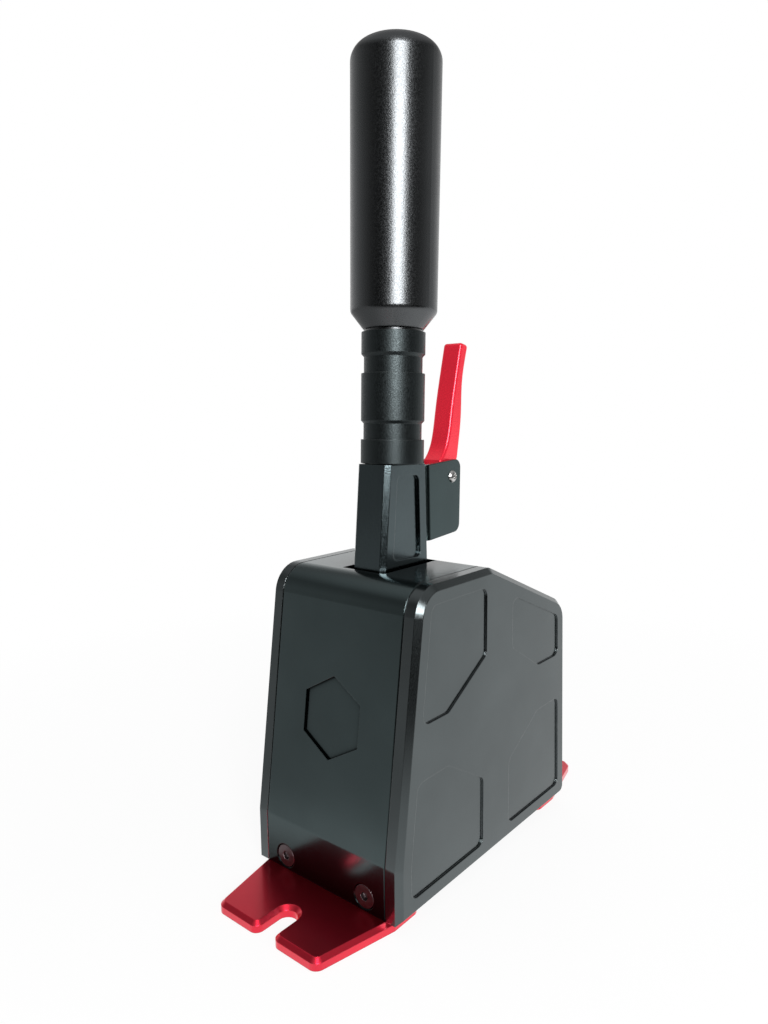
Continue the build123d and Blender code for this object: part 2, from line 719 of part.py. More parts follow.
def cross_member(web_y, web_z, lug_y, lug_z):
    """A bar between the plates with a lug against each plate, shaped by the covers round it."""
    width = 2 * INNER_X
    lugs = block(width, lug_y, lug_z)
    lugs -= block(width - 2 * LUG_THICKNESS, lug_y, lug_z)
    member = block(width, web_y, web_z) + lugs
    return member & across(cavity(), INNER_X)


def plate_screw_holes(places):
    """Clearance for the screws that pass outwards through the lugs."""
    reach = INNER_X + OVERRUN
    return [cylinder_x(M4_RADIUS + THREAD_CLEARANCE, -reach, reach, y, z) for y, z in places]


def lower_bar(side):
    """The front (-1) or rear (+1) bar at the floor, which takes the foot and the cover."""
    outer = side * REAR_Y
    inner = side * BAR_INNER_Y
    lug_inner = side * (REAR_Y - COVER_THICKNESS - LUG_DEPTH)
    web_z = (BODY_BOTTOM, BODY_BOTTOM + BAR_HEIGHT)
    lug_z = (BODY_BOTTOM, BODY_BOTTOM + LUG_HEIGHT)
    bar = cross_member(sorted((inner, outer)), web_z, sorted((lug_inner, outer)), lug_z)
    lap = sorted((inner - side * OVERRUN, inner + side * BASE_LAP))
    bar -= block(BODY_WIDTH, lap, (0, BASE_TOP))
    for place in cover_screw(side):
        bar -= place * cylinder_z(M5_RADIUS + THREAD_CLEARANCE, -COVER_SCREW_LENGTH - OVERRUN, OVERRUN)
    for x, y in foot_screw_places():
        bar -= cylinder_z(M5_RADIUS + THREAD_CLEARANCE, 0, FOOT_SCREW_LENGTH + THREAD_CLEARANCE, x, -side * y)
    screw_top = BODY_BOTTOM + BASE_SCREW_LENGTH + THREAD_CLEARANCE
    for x, y in base_screw_places():
        bar -= cylinder_z(M3_RADIUS + THREAD_CLEARANCE, 0, screw_top, x, y)
    for hole in plate_screw_holes(lug_screw_places()):
        bar -= hole
    return bar


def upper_bar():
    """The bar under the rear corner, which takes the ends of both covers."""
    web_z = (UPPER_BAR_BOTTOM, BODY_TOP)
    lug_y = (UPPER_BAR_FRONT - LUG_DEPTH, UPPER_BAR_FRONT)
    lug_z = (UPPER_BAR_BOTTOM, UPPER_BAR_BOTTOM + 2 * UPPER_SCREW_RISE)
    bar = cross_member((UPPER_BAR_FRONT, REAR_Y), web_z, lug_y, lug_z)
    screw_end = -UPPER_SCREW_LENGTH - THREAD_CLEARANCE
    for place in slope_screw() + rear_upper_screw():
        bar -= place * cylinder_z(M4_RADIUS + THREAD_CLEARANCE, screw_end, OVERRUN)
    for hole in plate_screw_holes([upper_screw_place()]):
        bar -= hole
    return bar


def spring_block(side):
    """The block that carries one preload screw and one bump stop."""
    start = block_front_y(side)
    z_range = (BLOCK_MIDDLE_Z - BLOCK_HEIGHT / 2, BLOCK_MIDDLE_Z + BLOCK_HEIGHT / 2)
    member = cross_member((start, start + BLOCK_DEPTH), z_range, (start, start + BLOCK_LUG_DEPTH), z_range)
    low, high = start - OVERRUN, start + BLOCK_DEPTH + OVERRUN
    member -= cylinder_y(PRELOAD_RADIUS + THREAD_CLEARANCE, low, high, 0, PIVOT_Z - CENTRING_DROP)
    member -= cylinder_y(STOP_STEM_RADIUS + THREAD_CLEARANCE, low, high, 0, PIVOT_Z - STOP_DROP)
    for hole in plate_screw_holes(block_screw_places()):
        member -= hole
    return member


# Pivot
def pivot_spacer():
    """The tube between the right plate and its bearing."""
    start = ARM_THICKNESS / 2 + SIDE_CLEARANCE
    tube = cylinder_x(SPACER_RADIUS, start, INNER_X, PIVOT_Y, PIVOT_Z)
    return tube - cylinder_x(SHAFT_RADIUS + THREAD_CLEARANCE, 0, HALF_WIDTH, PIVOT_Y, PIVOT_Z)


def bearing():
    """The right ball bearing, sealed, with its two races standing a little proud."""
    outer = Circle(BEARING_RADIUS)
    ring = outer - Circle(SHAFT_RADIUS + RUNNING_CLEARANCE)
    start = ARM_THICKNESS / 2 - BEARING_WIDTH
    body = extrude(Plane.YZ.offset(start) * ring, amount=BEARING_WIDTH)
    seal = Circle(BEARING_RADIUS - BEARING_RACE) - Circle(SHAFT_RADIUS + BEARING_RACE)
    sunk = BEARING_RACE / 2
    body -= extrude(Plane.YZ.offset(ARM_THICKNESS / 2 - sunk) * seal, amount=sunk + OVERRUN)
    return body


# Lever
def arm_sides(low, high, inset=0.0):
    """Side view of the tapered part of the arm between two heights, drawn in by an inset."""
    narrow = inset / cos(radians(ARM_TAPER_DEG))
    return [
        (-arm_half_width(low) + narrow, low),
        (arm_half_width(low) - narrow, low),
        (arm_half_width(high) - narrow, high),
        (-arm_half_width(high) + narrow, high),
    ]


def arm_upper():
    """The tapered part of the arm, its long edges broken."""
    upper = across(make_face(Polyline(*arm_sides(ARM_HUB_HEIGHT, ARM_TOP), close=True)), ARM_THICKNESS / 2)
    long_edges = [edge for edge in upper.edges() if edge.length > ARM_TOP / 2]
    return chamfer(long_edges, ARM_CHAMFER)


def arm_lower():
    """Hub and tail of the arm, below what shows."""
    shoulders = arm_sides(0, ARM_HUB_HEIGHT)
    shoulders[0] = (-ARM_HUB_RADIUS, 0)
    shoulders[1] = (ARM_HUB_RADIUS, 0)
    lower = make_face(Polyline(*shoulders, close=True)) + Circle(ARM_HUB_RADIUS)
    lower += Rectangle(ARM_TAIL_WIDTH, ARM_TAIL_LENGTH, align=(Align.CENTER, Align.MAX))
    return across(lower, ARM_THICKNESS / 2)


def rear_window(front, width, bottom, top):
    """A window in the arm's rear face, from a depth in the arm backwards."""
    return block(width, (front, ARM_TOP_WIDTH), (bottom, top))


def lever_arm():
    """The flat arm: pocketed sides, bearing seats, push rod bore and threaded ends."""
    arm = arm_upper() + arm_lower()
    pocket_top = ARM_TOP - ARM_POCKET_DROP
    corners = arm_sides(ARM_POCKET_BOTTOM, pocket_top, ARM_POCKET_MARGIN)
    pocket = profile(corners, [ARM_POCKET_RADIUS] * len(corners))
    half = ARM_THICKNESS / 2
    floor = half - ARM_POCKET_DEPTH
    arm -= extrude(Plane.YZ.offset(floor) * pocket, amount=ARM_POCKET_DEPTH + OVERRUN)
    arm -= extrude(Plane.YZ.offset(-floor) * pocket, amount=-ARM_POCKET_DEPTH - OVERRUN)
    for side in (-1, 1):
        ends = sorted((side * (half - BEARING_WIDTH), side * (half + OVERRUN)))
        arm -= cylinder_x(BEARING_RADIUS, *ends)
    arm -= cylinder_x(BEARING_SHOULDER_RADIUS, -half, half)
    arm -= rear_window(WINDOW_FRONT, WINDOW_WIDTH, WINDOW_BOTTOM, WINDOW_TOP)
    arm -= rear_window(SENSOR_POCKET_FRONT, SENSOR_POCKET_WIDTH, SENSOR_POCKET_BOTTOM, SENSOR_POCKET_TOP)
    arm -= cylinder_z(ROD_RADIUS + ROD_CLEARANCE, SENSOR_POCKET_TOP - OVERRUN, WINDOW_BOTTOM, 0, ROD_Y)
    arm -= cylinder_z(ROD_BORE_RADIUS, ROD_SPRING_FLOOR, WINDOW_TOP, 0, ROD_Y)
    arm -= cylinder_z(STUD_RADIUS + THREAD_CLEARANCE, ARM_TOP - STUD_IN_ARM, ARM_TOP + OVERRUN)
    screw_end = BRACKET_SHEET - BRACKET_SCREW_LENGTH - THREAD_CLEARANCE
    for frame in bracket_screw_frames():
        arm -= frame * cylinder_z(M25_RADIUS + THREAD_CLEARANCE, screw_end, OVERRUN)
    return arm


def lever_stem():
    """The turned stem with three rings, each broken on its lower edge."""
    waist = STEM_RADIUS - STEM_GROOVE
    lower = STEM_BOTTOM + STEM_LOWER_RING
    middle = lower + STEM_LOWER_GROOVE
    upper_groove = middle + STEM_MIDDLE_RING
    upper = upper_groove + STEM_UPPER_GROOVE
    points = [
        (STUD_RADIUS + THREAD_CLEARANCE, ARM_TOP),
        (STEM_FOOT_RADIUS, ARM_TOP),
        (STEM_FOOT_RADIUS, STEM_BOTTOM),
        (STEM_RADIUS, STEM_BOTTOM),
        (STEM_RADIUS, lower),
        (waist, lower),
        (waist, middle - STEM_RING_CHAMFER),
        (STEM_RADIUS, middle),
        (STEM_RADIUS, upper_groove),
        (waist, upper_groove),
        (waist, upper - STEM_RING_CHAMFER),
        (STEM_RADIUS, upper),
        (STEM_RADIUS, STEM_TOP),
        (STUD_RADIUS + THREAD_CLEARANCE, STEM_TOP),
    ]
    return revolve(Plane.XZ * make_face(Polyline(*points, close=True)), Axis.Z)


def grip():
    """The turned grip: tapered foot, long barrel and a well-rounded top."""
    top = GRIP_BOTTOM + GRIP_LENGTH
    bore = STUD_RADIUS + THREAD_CLEARANCE
    bore_top = STEM_TOP + STUD_IN_GRIP + THREAD_CLEARANCE
    corners = [
        (0, bore_top),
        (bore, bore_top),
        (bore, STEM_TOP),
        (GRIP_NECK_RADIUS, STEM_TOP),
        (GRIP_NECK_RADIUS, GRIP_BOTTOM),
        (GRIP_END_RADIUS, GRIP_BOTTOM),
        (GRIP_FOOT_RADIUS, GRIP_BOTTOM + GRIP_TAPER_LENGTH),
        (GRIP_RADIUS, top),
        (0, top),
    ]
    radii = [0, 0, 0, 0, 0, 0, GRIP_TAPER_RADIUS, GRIP_TOP_RADIUS, 0]
    return revolve(Plane.XZ * profile(corners, radii), Axis.Z)


def lever_stud():
    """The stud that clamps grip and stem to the arm."""
    return cylinder_z(STUD_RADIUS, ARM_TOP - STUD_IN_ARM, STEM_TOP + STUD_IN_GRIP)


def spring_seat():
    """A spring seat on z = 0 with a short boss that the spring sits round."""
    boss_top = SEAT_THICKNESS + SEAT_BOSS_LENGTH
    return cylinder_z(SEAT_RADIUS, 0, SEAT_THICKNESS) + cylinder_z(SEAT_BOSS_RADIUS, 0, boss_top)


def tail_seat(side):
    """The seat on the front (-1) or rear (+1) face of the tail."""
    return Pos(0, side * ARM_TAIL_WIDTH / 2, -CENTRING_DROP) * Rot(-side * 90, 0, 0) * spring_seat()


def magnet_holder():
    """The cup under the tail that holds the sensor magnet."""
    low = -ARM_TAIL_LENGTH - MAGNET_HOLDER_HEIGHT
    holder = cylinder_z(MAGNET_RADIUS + MAGNET_WALL, low, -ARM_TAIL_LENGTH)
    return holder - cylinder_z(MAGNET_RADIUS, low - OVERRUN, low + MAGNET_LENGTH)


def sensor_magnet():
    """The magnet in the tail, flush with its cup."""
    low = -ARM_TAIL_LENGTH - MAGNET_HOLDER_HEIGHT
    return cylinder_z(MAGNET_RADIUS, low, low + MAGNET_LENGTH)


# Trigger bracket
def rear_face_frame(height):
    """A frame on the arm's rear face at a height, Z pointing out of the face."""
    taper = radians(ARM_TAPER_DEG)
    return Plane((0, arm_half_width(height), height), x_dir=(1, 0, 0), z_dir=(0, cos(taper), sin(taper)))


def bracket_screw_frames():
    """Where the two bracket screws enter the arm's rear face."""
    heights = (BRACKET_SCREW_LOW, BRACKET_SCREW_LOW + BRACKET_SCREW_PITCH)
    return [rear_face_frame(height) for height in heights]


def trigger_bracket():
    """A sheet folded to a channel, its web on the arm and its cheeks round the trigger."""
    half = BRACKET_WIDTH / 2
    web_y = arm_half_width(BRACKET_TOP)
    reach = BRACKET_REAR - web_y + OVERRUN
    outer = Rectangle(BRACKET_WIDTH, reach, align=(Align.CENTER, Align.MIN))
    outer = fillet(outer.vertices().sort_by(Axis.Y)[:2], BRACKET_BEND_RADIUS)
    inside = BRACKET_WIDTH - 2 * BRACKET_SHEET
    inner = Pos(0, BRACKET_SHEET) * Rectangle(inside, reach, align=(Align.CENTER, Align.MIN))
    inner = fillet(inner.vertices().sort_by(Axis.Y)[:2], BRACKET_BEND_RADIUS - BRACKET_SHEET)
    channel = outer - inner
    top = rear_face_frame(BRACKET_REAR_TOP + OVERRUN)
    drop = (BRACKET_REAR_TOP - BRACKET_FRONT_BOTTOM + 3 * OVERRUN) / cos(radians(ARM_TAPER_DEG))
    bracket = extrude(Plane(top.origin, x_dir=(1, 0, 0), z_dir=-top.y_dir) * channel, amount=-drop)
    corners = [
        (0, BRACKET_TOP),
        (0, BRACKET_FRONT_BOTTOM),
        (arm_half_width(BRACKET_FRONT_BOTTOM), BRACKET_FRONT_BOTTOM),
        (BRACKET_REAR, BRACKET_REAR_BOTTOM),
        (BRACKET_REAR, BRACKET_REAR_TOP),
        (web_y + BRACKET_SHEET, BRACKET_TOP),
    ]
    side = profile(corners, [0, 0, 0, BRACKET_CORNER_RADIUS, BRACKET_CORNER_RADIUS, 0])
    bracket = bracket & across(side, half)
    bracket -= block(WINDOW_WIDTH, (0, web_y + 3 * BRACKET_SHEET), (WINDOW_BOTTOM, WINDOW_TOP))
    hole_end = half + OVERRUN
    bracket -= cylinder_x(M3_RADIUS + THREAD_CLEARANCE, -hole_end, hole_end, TRIGGER_Y, TRIGGER_Z)
    for frame in bracket_screw_frames():
        bracket -= frame * cylinder_z(M25_RADIUS + THREAD_CLEARANCE, -OVERRUN, BRACKET_SHEET + OVERRUN)
    return bracket


def pivot_screw():
    """The trigger's pivot screw, its head on the right cheek."""
    half = BRACKET_WIDTH / 2
    length = BRACKET_WIDTH + 2 * M3_RADIUS
    return Pos(half, TRIGGER_Y, TRIGGER_Z) * Rot(0, 90, 0) * button_screw(M3_RADIUS, length)


def pivot_nut():
    """The nut on the left end of the pivot screw."""
    half = BRACKET_WIDTH / 2
    nut = RegularPolygon(2 * M3_RADIUS, 6) - Circle(M3_RADIUS + THREAD_CLEARANCE)
    return extrude(Plane.YZ.offset(-half) * Pos(TRIGGER_Y, TRIGGER_Z) * nut, amount=-1.6 * M3_RADIUS)


# Trigger and push rod
def trigger_blade():
    """Side view of the finger blade, from the pivot up."""
    front = [(y * TRIGGER_HEIGHT, z * TRIGGER_HEIGHT) for y, z in TRIGGER_FRONT_SHARES]
    rear = [(y * TRIGGER_HEIGHT, z * TRIGGER_HEIGHT) for y, z in TRIGGER_REAR_SHARES]
    edges = [
        Spline(*front),
        Line(front[-1], rear[0]),
        Spline(*rear),
        Line(rear[-1], (TRIGGER_BOSS_RADIUS, 0)),
        Line((TRIGGER_BOSS_RADIUS, 0), (-TRIGGER_BOSS_RADIUS, 0)),
        Line((-TRIGGER_BOSS_RADIUS, 0), front[0]),
    ]
    blade = make_face(edges)
    tips = blade.vertices().sort_by(Axis.Y)[-2:]
    return fillet(tips, TRIGGER_TIP_RADIUS)


def trigger():
    """The trigger: a curved blade on a boss, with a finger that reaches into the arm."""
    half = TRIGGER_WIDTH / 2
    side_view = trigger_blade() + Circle(TRIGGER_BOSS_RADIUS)
    blade = across(side_view, half)
    rims = blade.faces().sort_by(Axis.X)[-1].edges() + blade.faces().sort_by(Axis.X)[0].edges()
    blade = fillet(rims, TRIGGER_RIM_RADIUS)
    reach = TRIGGER_Y - ROD_Y
    finger = Pos(-reach, 0) * Circle(FINGER_HEIGHT / 2)
    finger += Rectangle(reach, FINGER_HEIGHT, align=(Align.MAX, Align.CENTER))
    shape = blade + across(finger, FINGER_WIDTH / 2)
    shape -= cylinder_x(M3_RADIUS + TRIGGER_BORE_CLEARANCE, -half - OVERRUN, half + OVERRUN)
    return Pos(0, TRIGGER_Y, TRIGGER_Z) * shape


def rod_head_top():
    """Height at which the finger meets the push rod."""
    return TRIGGER_Z - FINGER_HEIGHT / 2 - FINGER_GAP


def push_rod():
    """The rod that the trigger pushes down the arm."""
    top = rod_head_top()
    rod = cylinder_z(ROD_HEAD_RADIUS, top - ROD_HEAD_HEIGHT, top, 0, ROD_Y)
    return rod + cylinder_z(ROD_RADIUS, ROD_BOTTOM, top - ROD_HEAD_HEIGHT, 0, ROD_Y)


def rod_magnet():
    """The magnet on the lower end of the push rod."""
    return cylinder_z(ROD_RADIUS, ROD_BOTTOM - ROD_MAGNET_LENGTH, ROD_BOTTOM, 0, ROD_Y)


def trigger_sensor():
    """The small board in the arm that senses the push rod."""
    front = SENSOR_POCKET_FRONT
    width = SENSOR_POCKET_WIDTH - 2 * THREAD_CLEARANCE
    z_range = (SENSOR_POCKET_BOTTOM + THREAD_CLEARANCE, SENSOR_POCKET_TOP - THREAD_CLEARANCE)
    return block(width, (front, front + TRIGGER_BOARD_THICKNESS), z_range)


# Springs
def biarc(start, start_dir, end, end_dir):
    """Two arcs that join two points with given directions."""
    chord = end - start
    both = start_dir + end_dir
    share = 2 * (1 - start_dir.dot(end_dir))
    along = chord.dot(both)
    reach = (sqrt(along**2 + share * chord.dot(chord)) - along) / share
    first_knee = start + start_dir * reach
    second_knee = end - end_dir * reach
    middle = (first_knee + second_knee) / 2
    first = TangentArc(start, middle, tangent=start_dir)
    second = TangentArc(middle, end, tangent=second_knee - first_knee)
    return [first, second]


def spring(coil_radius, wire, turns, length, name):
    """A compression spring along Z from z = 0, one unbroken tube on arcs."""
    lead = wire * length / (2 * pi * coil_radius * turns)
    rise = length - wire - 2 * lead
    steps = 4 * turns
    points, directions = [], []
    for step in range(steps + 1):
        angle = 2 * pi * step / 4
        height = wire / 2 + lead + rise * step / steps
        points.append(Vector(coil_radius * cos(angle), coil_radius * sin(angle), height))
        tangent = Vector(-coil_radius * sin(angle), coil_radius * cos(angle), rise / (2 * pi * turns))
        directions.append(tangent.normalized())
    path = [Line(points[0] - directions[0] * wire, points[0])]
    for step in range(steps):
        path += biarc(points[step], directions[step], points[step + 1], directions[step + 1])
    path.append(Line(points[-1], points[-1] + directions[-1] * wire))
    section = Plane(path[0] @ 0, z_dir=directions[0]) * Circle(wire / 2)
    tube = sweep(section, path=Wire(path))
    print(name, "gap between turns", round(turn_gap(path, wire), 2))
    return tube


def turn_gap(path, wire):
    """Least distance between the surfaces of two turns, measured on points of the path."""
    marks = []
    run = 0.0
    for edge in path:
        for share in (0.0, 0.5):
            marks.append((run + edge.length * share, edge @ share))
        run += edge.length
    turn = 2 * pi * wire
    gaps = [
        (first - second).length - wire
        for place, first in marks
        for other, second in marks
        if other - place > turn
    ]
    return min(gaps)


def centring_spring(side):
    """The spring ahead of the tail (-1) or behind it (+1)."""
    inner = spring_end_y(side) - side * (SPRING_END_GAP + CENTRING_LENGTH)
    coil = spring(CENTRING_COIL_RADIUS, CENTRING_WIRE, CENTRING_TURNS, CENTRING_LENGTH, "centring spring")
    return Pos(0, inner, PIVOT_Z - CENTRING_DROP) * Rot(-side * 90, 0, 0) * coil


def return_spring():
    """The spring under the head of the push rod."""
    length = rod_head_top() - ROD_HEAD_HEIGHT - ROD_SPRING_FLOOR - 2 * SPRING_END_GAP
    coil = spring(RETURN_COIL_RADIUS, RETURN_WIRE, RETURN_TURNS, length, "return spring")
    return Pos(0, ROD_Y, ROD_SPRING_FLOOR + SPRING_END_GAP) * coil


# Preload screws and bump stops
def fixed_seat(side):
    """The seat that a preload screw holds against its spring."""
    back = spring_end_y(side) + side * SEAT_THICKNESS
    return Pos(0, back, PIVOT_Z - CENTRING_DROP) * Rot(side * 90, 0, 0) * spring_seat()


def preload_screw(side):
    """The set screw through a spring block, with its hexagon socket outwards."""
    length = BLOCK_DEPTH + PRELOAD_PROUD
    screw = cylinder_z(PRELOAD_RADIUS, 0, length)
    screw -= Pos(0, 0, length) * extrude(RegularPolygon(PRELOAD_HEX_RADIUS, 6), amount=-PRELOAD_HEX_DEPTH)
    back = spring_end_y(side) + side * SEAT_THICKNESS
    return Pos(0, back, PIVOT_Z - CENTRING_DROP) * Rot(-side * 90, 0, 0) * screw


def bump_stop(side):
    """A rubber stop with its stem in a spring block."""
    swing = radians(LEVER_SWING_DEG)
    steepest = radians(LEVER_SWING_DEG + LEVER_LEAN_DEG)
    gap = STOP_DROP * sin(swing) + STOP_RADIUS * tan(steepest) + STOP_MARGIN
    face = tail_face_y(STOP_DROP, side) + side * gap
    back = spring_end_y(side) + side * SEAT_THICKNESS
    length = side * (back - face)
    stop = cylinder_z(STOP_RADIUS, 0, length) + cylinder_z(STOP_STEM_RADIUS, 0, length + BLOCK_DEPTH)
    stop = fillet(stop.edges().sort_by(Axis.Z)[0], STOP_ROUND)
    return Pos(0, face, PIVOT_Z - STOP_DROP) * Rot(-side * 90, 0, 0) * stop


# Electronics
def standoff_places():
    """Plan places of the four standoffs."""
    x = BOARD_WIDTH / 2 - STANDOFF_INSET
    front = BOARD_FRONT_Y + STANDOFF_INSET
    rear = BAR_INNER_Y - STANDOFF_BAR_GAP
    return [(side * x, y) for side in (-1, 1) for y in (front, rear)]


def standoff(x, y):
    """A hexagonal standoff with a stud in the base plate."""
    column = extrude(Pos(x, y, BASE_TOP) * RegularPolygon(STANDOFF_RADIUS, 6), amount=BOARD_HEIGHT - BASE_TOP)
    column += cylinder_z(M3_RADIUS, BASE_TOP - STANDOFF_STUD, BASE_TOP, x, y)
    bore_bottom = BOARD_HEIGHT - BOARD_SCREW_LENGTH
    return column - cylinder_z(M3_RADIUS + THREAD_CLEARANCE, bore_bottom, BOARD_HEIGHT + OVERRUN, x, y)


def sensor_board():
    """The circuit board over the base plate."""
    top = BOARD_HEIGHT + BOARD_THICKNESS
    board = block(BOARD_WIDTH, (BOARD_FRONT_Y, BOARD_REAR_Y), (BOARD_HEIGHT, top))
    for x, y in standoff_places():
        board -= cylinder_z(M3_RADIUS + THREAD_CLEARANCE, BOARD_HEIGHT - OVERRUN, top + OVERRUN, x, y)
    return board


def board_screw(x, y):
    """A screw that holds the board on its standoff."""
    top = BOARD_HEIGHT + BOARD_THICKNESS
    return Pos(x, y, top) * cap_screw(M3_RADIUS, BOARD_SCREW_LENGTH)


def board_chips():
    """The position sensor under the magnet, and the controller beside it."""
    top = BOARD_HEIGHT + BOARD_THICKNESS
    sensor_y = tail_face_y(ARM_TAIL_LENGTH + MAGNET_HOLDER_HEIGHT, 0)
    half = SENSOR_SIZE / 2
    sensor = block(SENSOR_SIZE, (sensor_y - half, sensor_y + half), (top, top + SENSOR_HEIGHT))
    chip = block(CHIP_SIZE, (-CHIP_SIZE / 2, CHIP_SIZE / 2), (top, top + CHIP_HEIGHT))
    return [sensor, chip]


def cable_socket():
    """A square socket at the rear edge of the board, its mouth in the rear cover."""
    low = BOARD_HEIGHT + BOARD_THICKNESS
    high = low + SOCKET_HEIGHT
    mouth = REAR_Y - (high - BODY_BOTTOM) * tan(radians(REAR_LEAN_DEG))
    floor = mouth - SOCKET_POCKET
    shell = block(SOCKET_WIDTH, (mouth - SOCKET_DEPTH, mouth), (low, high))
    shell = chamfer(shell.edges().filter_by(Axis.Y).sort_by(Axis.Z)[-2:], SOCKET_BEVEL)
    hollow_z = (low + SOCKET_WALL, high - SOCKET_WALL)
    hollow = block(SOCKET_WIDTH - 2 * SOCKET_WALL, (floor, mouth + OVERRUN), hollow_z)
    hollow = chamfer(hollow.edges().filter_by(Axis.Y).sort_by(Axis.Z)[-2:], SOCKET_BEVEL)
    middle = socket_z()
    tall = SOCKET_TONGUE_HEIGHT / 2
    tongue = block(SOCKET_TONGUE_WIDTH, (floor, mouth - SOCKET_WALL), (middle - tall, middle + tall))
    return shell - hollow + tongue


# The housing, fixed to the bench
plate = side_plate()
save("right_side_plate", plate)
save("left_side_plate", mirror(plate, about=Plane.YZ))
save("top_cover", top_cover())
save("rear_cover", rear_cover())
save("front_foot", foot())
save("rear_foot", Rot(0, 0, 180) * foot())
save("base_plate", base_plate())
save("front_lower_bar", lower_bar(-1))
save("rear_lower_bar", lower_bar(1))
save("upper_rear_bar", upper_bar())
save("front_spring_block", spring_block(-1))
save("rear_spring_block", spring_block(1))

cover_screw_shape = countersunk(M5_RADIUS, M5_CONE_RADIUS, M5_CONE_HEIGHT, COVER_SCREW_LENGTH)
upper_screw_shape = countersunk(M4_RADIUS, M4_CONE_RADIUS, M4_CONE_HEIGHT, UPPER_SCREW_LENGTH)
save("front_cover_screws", joined([place * cover_screw_shape for place in cover_screw(-1)]))
save("rear_cover_screws", joined(
    [place * cover_screw_shape for place in cover_screw(1)]
    + [place * upper_screw_shape for place in rear_upper_screw()]
))
save("top_cover_screws", joined([place * upper_screw_shape for place in slope_screw()]))

foot_screw_shape = Rot(180, 0, 0) * countersunk(M5_RADIUS, M5_CONE_RADIUS, M5_CONE_HEIGHT, FOOT_SCREW_LENGTH)
save("foot_screws", joined(
    [Pos(x, side * y, 0) * foot_screw_shape for x, y in foot_screw_places() for side in (-1, 1)]
))
base_screw_shape = Rot(180, 0, 0) * countersunk(M3_RADIUS, M3_CONE_RADIUS, M3_CONE_HEIGHT, BASE_SCREW_LENGTH)
save("base_screws", joined([Pos(x, y, BODY_BOTTOM) * base_screw_shape for x, y in base_screw_places()]))

member_screw_shape = cap_screw(M4_RADIUS, LUG_SCREW_LENGTH)
member_places = lug_screw_places() + [upper_screw_place()] + block_screw_places()
save("member_screws", joined([
    Pos(side * (INNER_X - LUG_THICKNESS), y, z) * Rot(0, -side * 90, 0) * member_screw_shape
    for y, z in member_places
    for side in (-1, 1)
]))

shaft_end = INNER_X + SHAFT_SEAT_DEPTH - THREAD_CLEARANCE
save("pivot_shaft", cylinder_x(SHAFT_RADIUS, -shaft_end, shaft_end, PIVOT_Y, PIVOT_Z))
spacer = pivot_spacer()
save("pivot_spacers", joined([spacer, mirror(spacer, about=Plane.YZ)]))
save("preload_screws", joined([preload_screw(side) for side in (-1, 1)]))
save("fixed_spring_seats", joined([fixed_seat(side) for side in (-1, 1)]))
save("front_centring_spring", centring_spring(-1))
save("rear_centring_spring", centring_spring(1))
save("bump_stops", joined([bump_stop(side) for side in (-1, 1)]))
save("sensor_board", sensor_board())
save("board_standoffs", joined([standoff(x, y) for x, y in standoff_places()]))
save("board_screws", joined([board_screw(x, y) for x, y in standoff_places()]))
save("board_chips", joined(board_chips()))
save("cable_socket", cable_socket())

# The lever, which rocks on the pivot shaft
race = bearing()
bracket_screw_shape = button_screw(M25_RADIUS, BRACKET_SCREW_LENGTH)
save("lever_arm", LEVER_AT * lever_arm())
save("pivot_bearings", LEVER_AT * joined([race, mirror(race, about=Plane.YZ)]))
save("lever_stud", LEVER_AT * lever_stud())
save("lever_stem", LEVER_AT * lever_stem())
save("grip", LEVER_AT * grip())
save("trigger_bracket", LEVER_AT * trigger_bracket())
save("bracket_screws", LEVER_AT * joined(
    [frame * Pos(0, 0, BRACKET_SHEET) * bracket_screw_shape for frame in bracket_screw_frames()]
))
save("trigger_pivot_screw", LEVER_AT * pivot_screw())
save("trigger_pivot_nut", LEVER_AT * pivot_nut())
save("moving_spring_seats", LEVER_AT * joined([tail_seat(side) for side in (-1, 1)]))
save("magnet_holder", LEVER_AT * magnet_holder())
save("sensor_magnet", LEVER_AT * sensor_magnet())
save("trigger_sensor_board", LEVER_AT * trigger_sensor())
save("trigger_return_spring", LEVER_AT * return_spring())

# The trigger and the rod that it pushes
save("trigger", LEVER_AT * trigger())
save("push_rod", LEVER_AT * push_rod())
save("rod_magnet", LEVER_AT * rod_magnet())

whole = Compound(list(made.values())).bounding_box()
print("nodes", len(made), "size", whole.size, "low", whole.min, "high", whole.max)
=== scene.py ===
import json
import math

import bmesh
import bpy
from mathutils import Matrix, Vector


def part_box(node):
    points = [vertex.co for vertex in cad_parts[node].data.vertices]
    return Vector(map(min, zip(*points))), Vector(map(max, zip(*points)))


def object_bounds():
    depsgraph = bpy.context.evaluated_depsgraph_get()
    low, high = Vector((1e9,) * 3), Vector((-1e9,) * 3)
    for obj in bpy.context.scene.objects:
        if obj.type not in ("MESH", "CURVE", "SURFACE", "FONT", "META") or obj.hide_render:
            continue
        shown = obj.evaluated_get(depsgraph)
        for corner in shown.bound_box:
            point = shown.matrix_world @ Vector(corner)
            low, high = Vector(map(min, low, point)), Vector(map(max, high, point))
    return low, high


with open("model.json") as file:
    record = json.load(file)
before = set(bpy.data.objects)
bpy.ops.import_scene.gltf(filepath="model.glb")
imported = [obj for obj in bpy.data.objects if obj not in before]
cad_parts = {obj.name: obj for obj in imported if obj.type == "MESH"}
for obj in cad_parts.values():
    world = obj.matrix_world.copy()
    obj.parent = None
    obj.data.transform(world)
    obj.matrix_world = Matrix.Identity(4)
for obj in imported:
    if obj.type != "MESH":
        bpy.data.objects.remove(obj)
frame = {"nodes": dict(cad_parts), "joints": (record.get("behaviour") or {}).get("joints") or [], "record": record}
cad_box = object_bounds()

bl_info = {
    "name": "Sequential shifter",
    "version": (1, 0, 0),
    "blender": (4, 5, 0),
    "location": "View3D > Sidebar > Shifter",
    "description": "Finishes, small pieces and studio of a lever shifter with a finger trigger",
    "category": "Object",
}

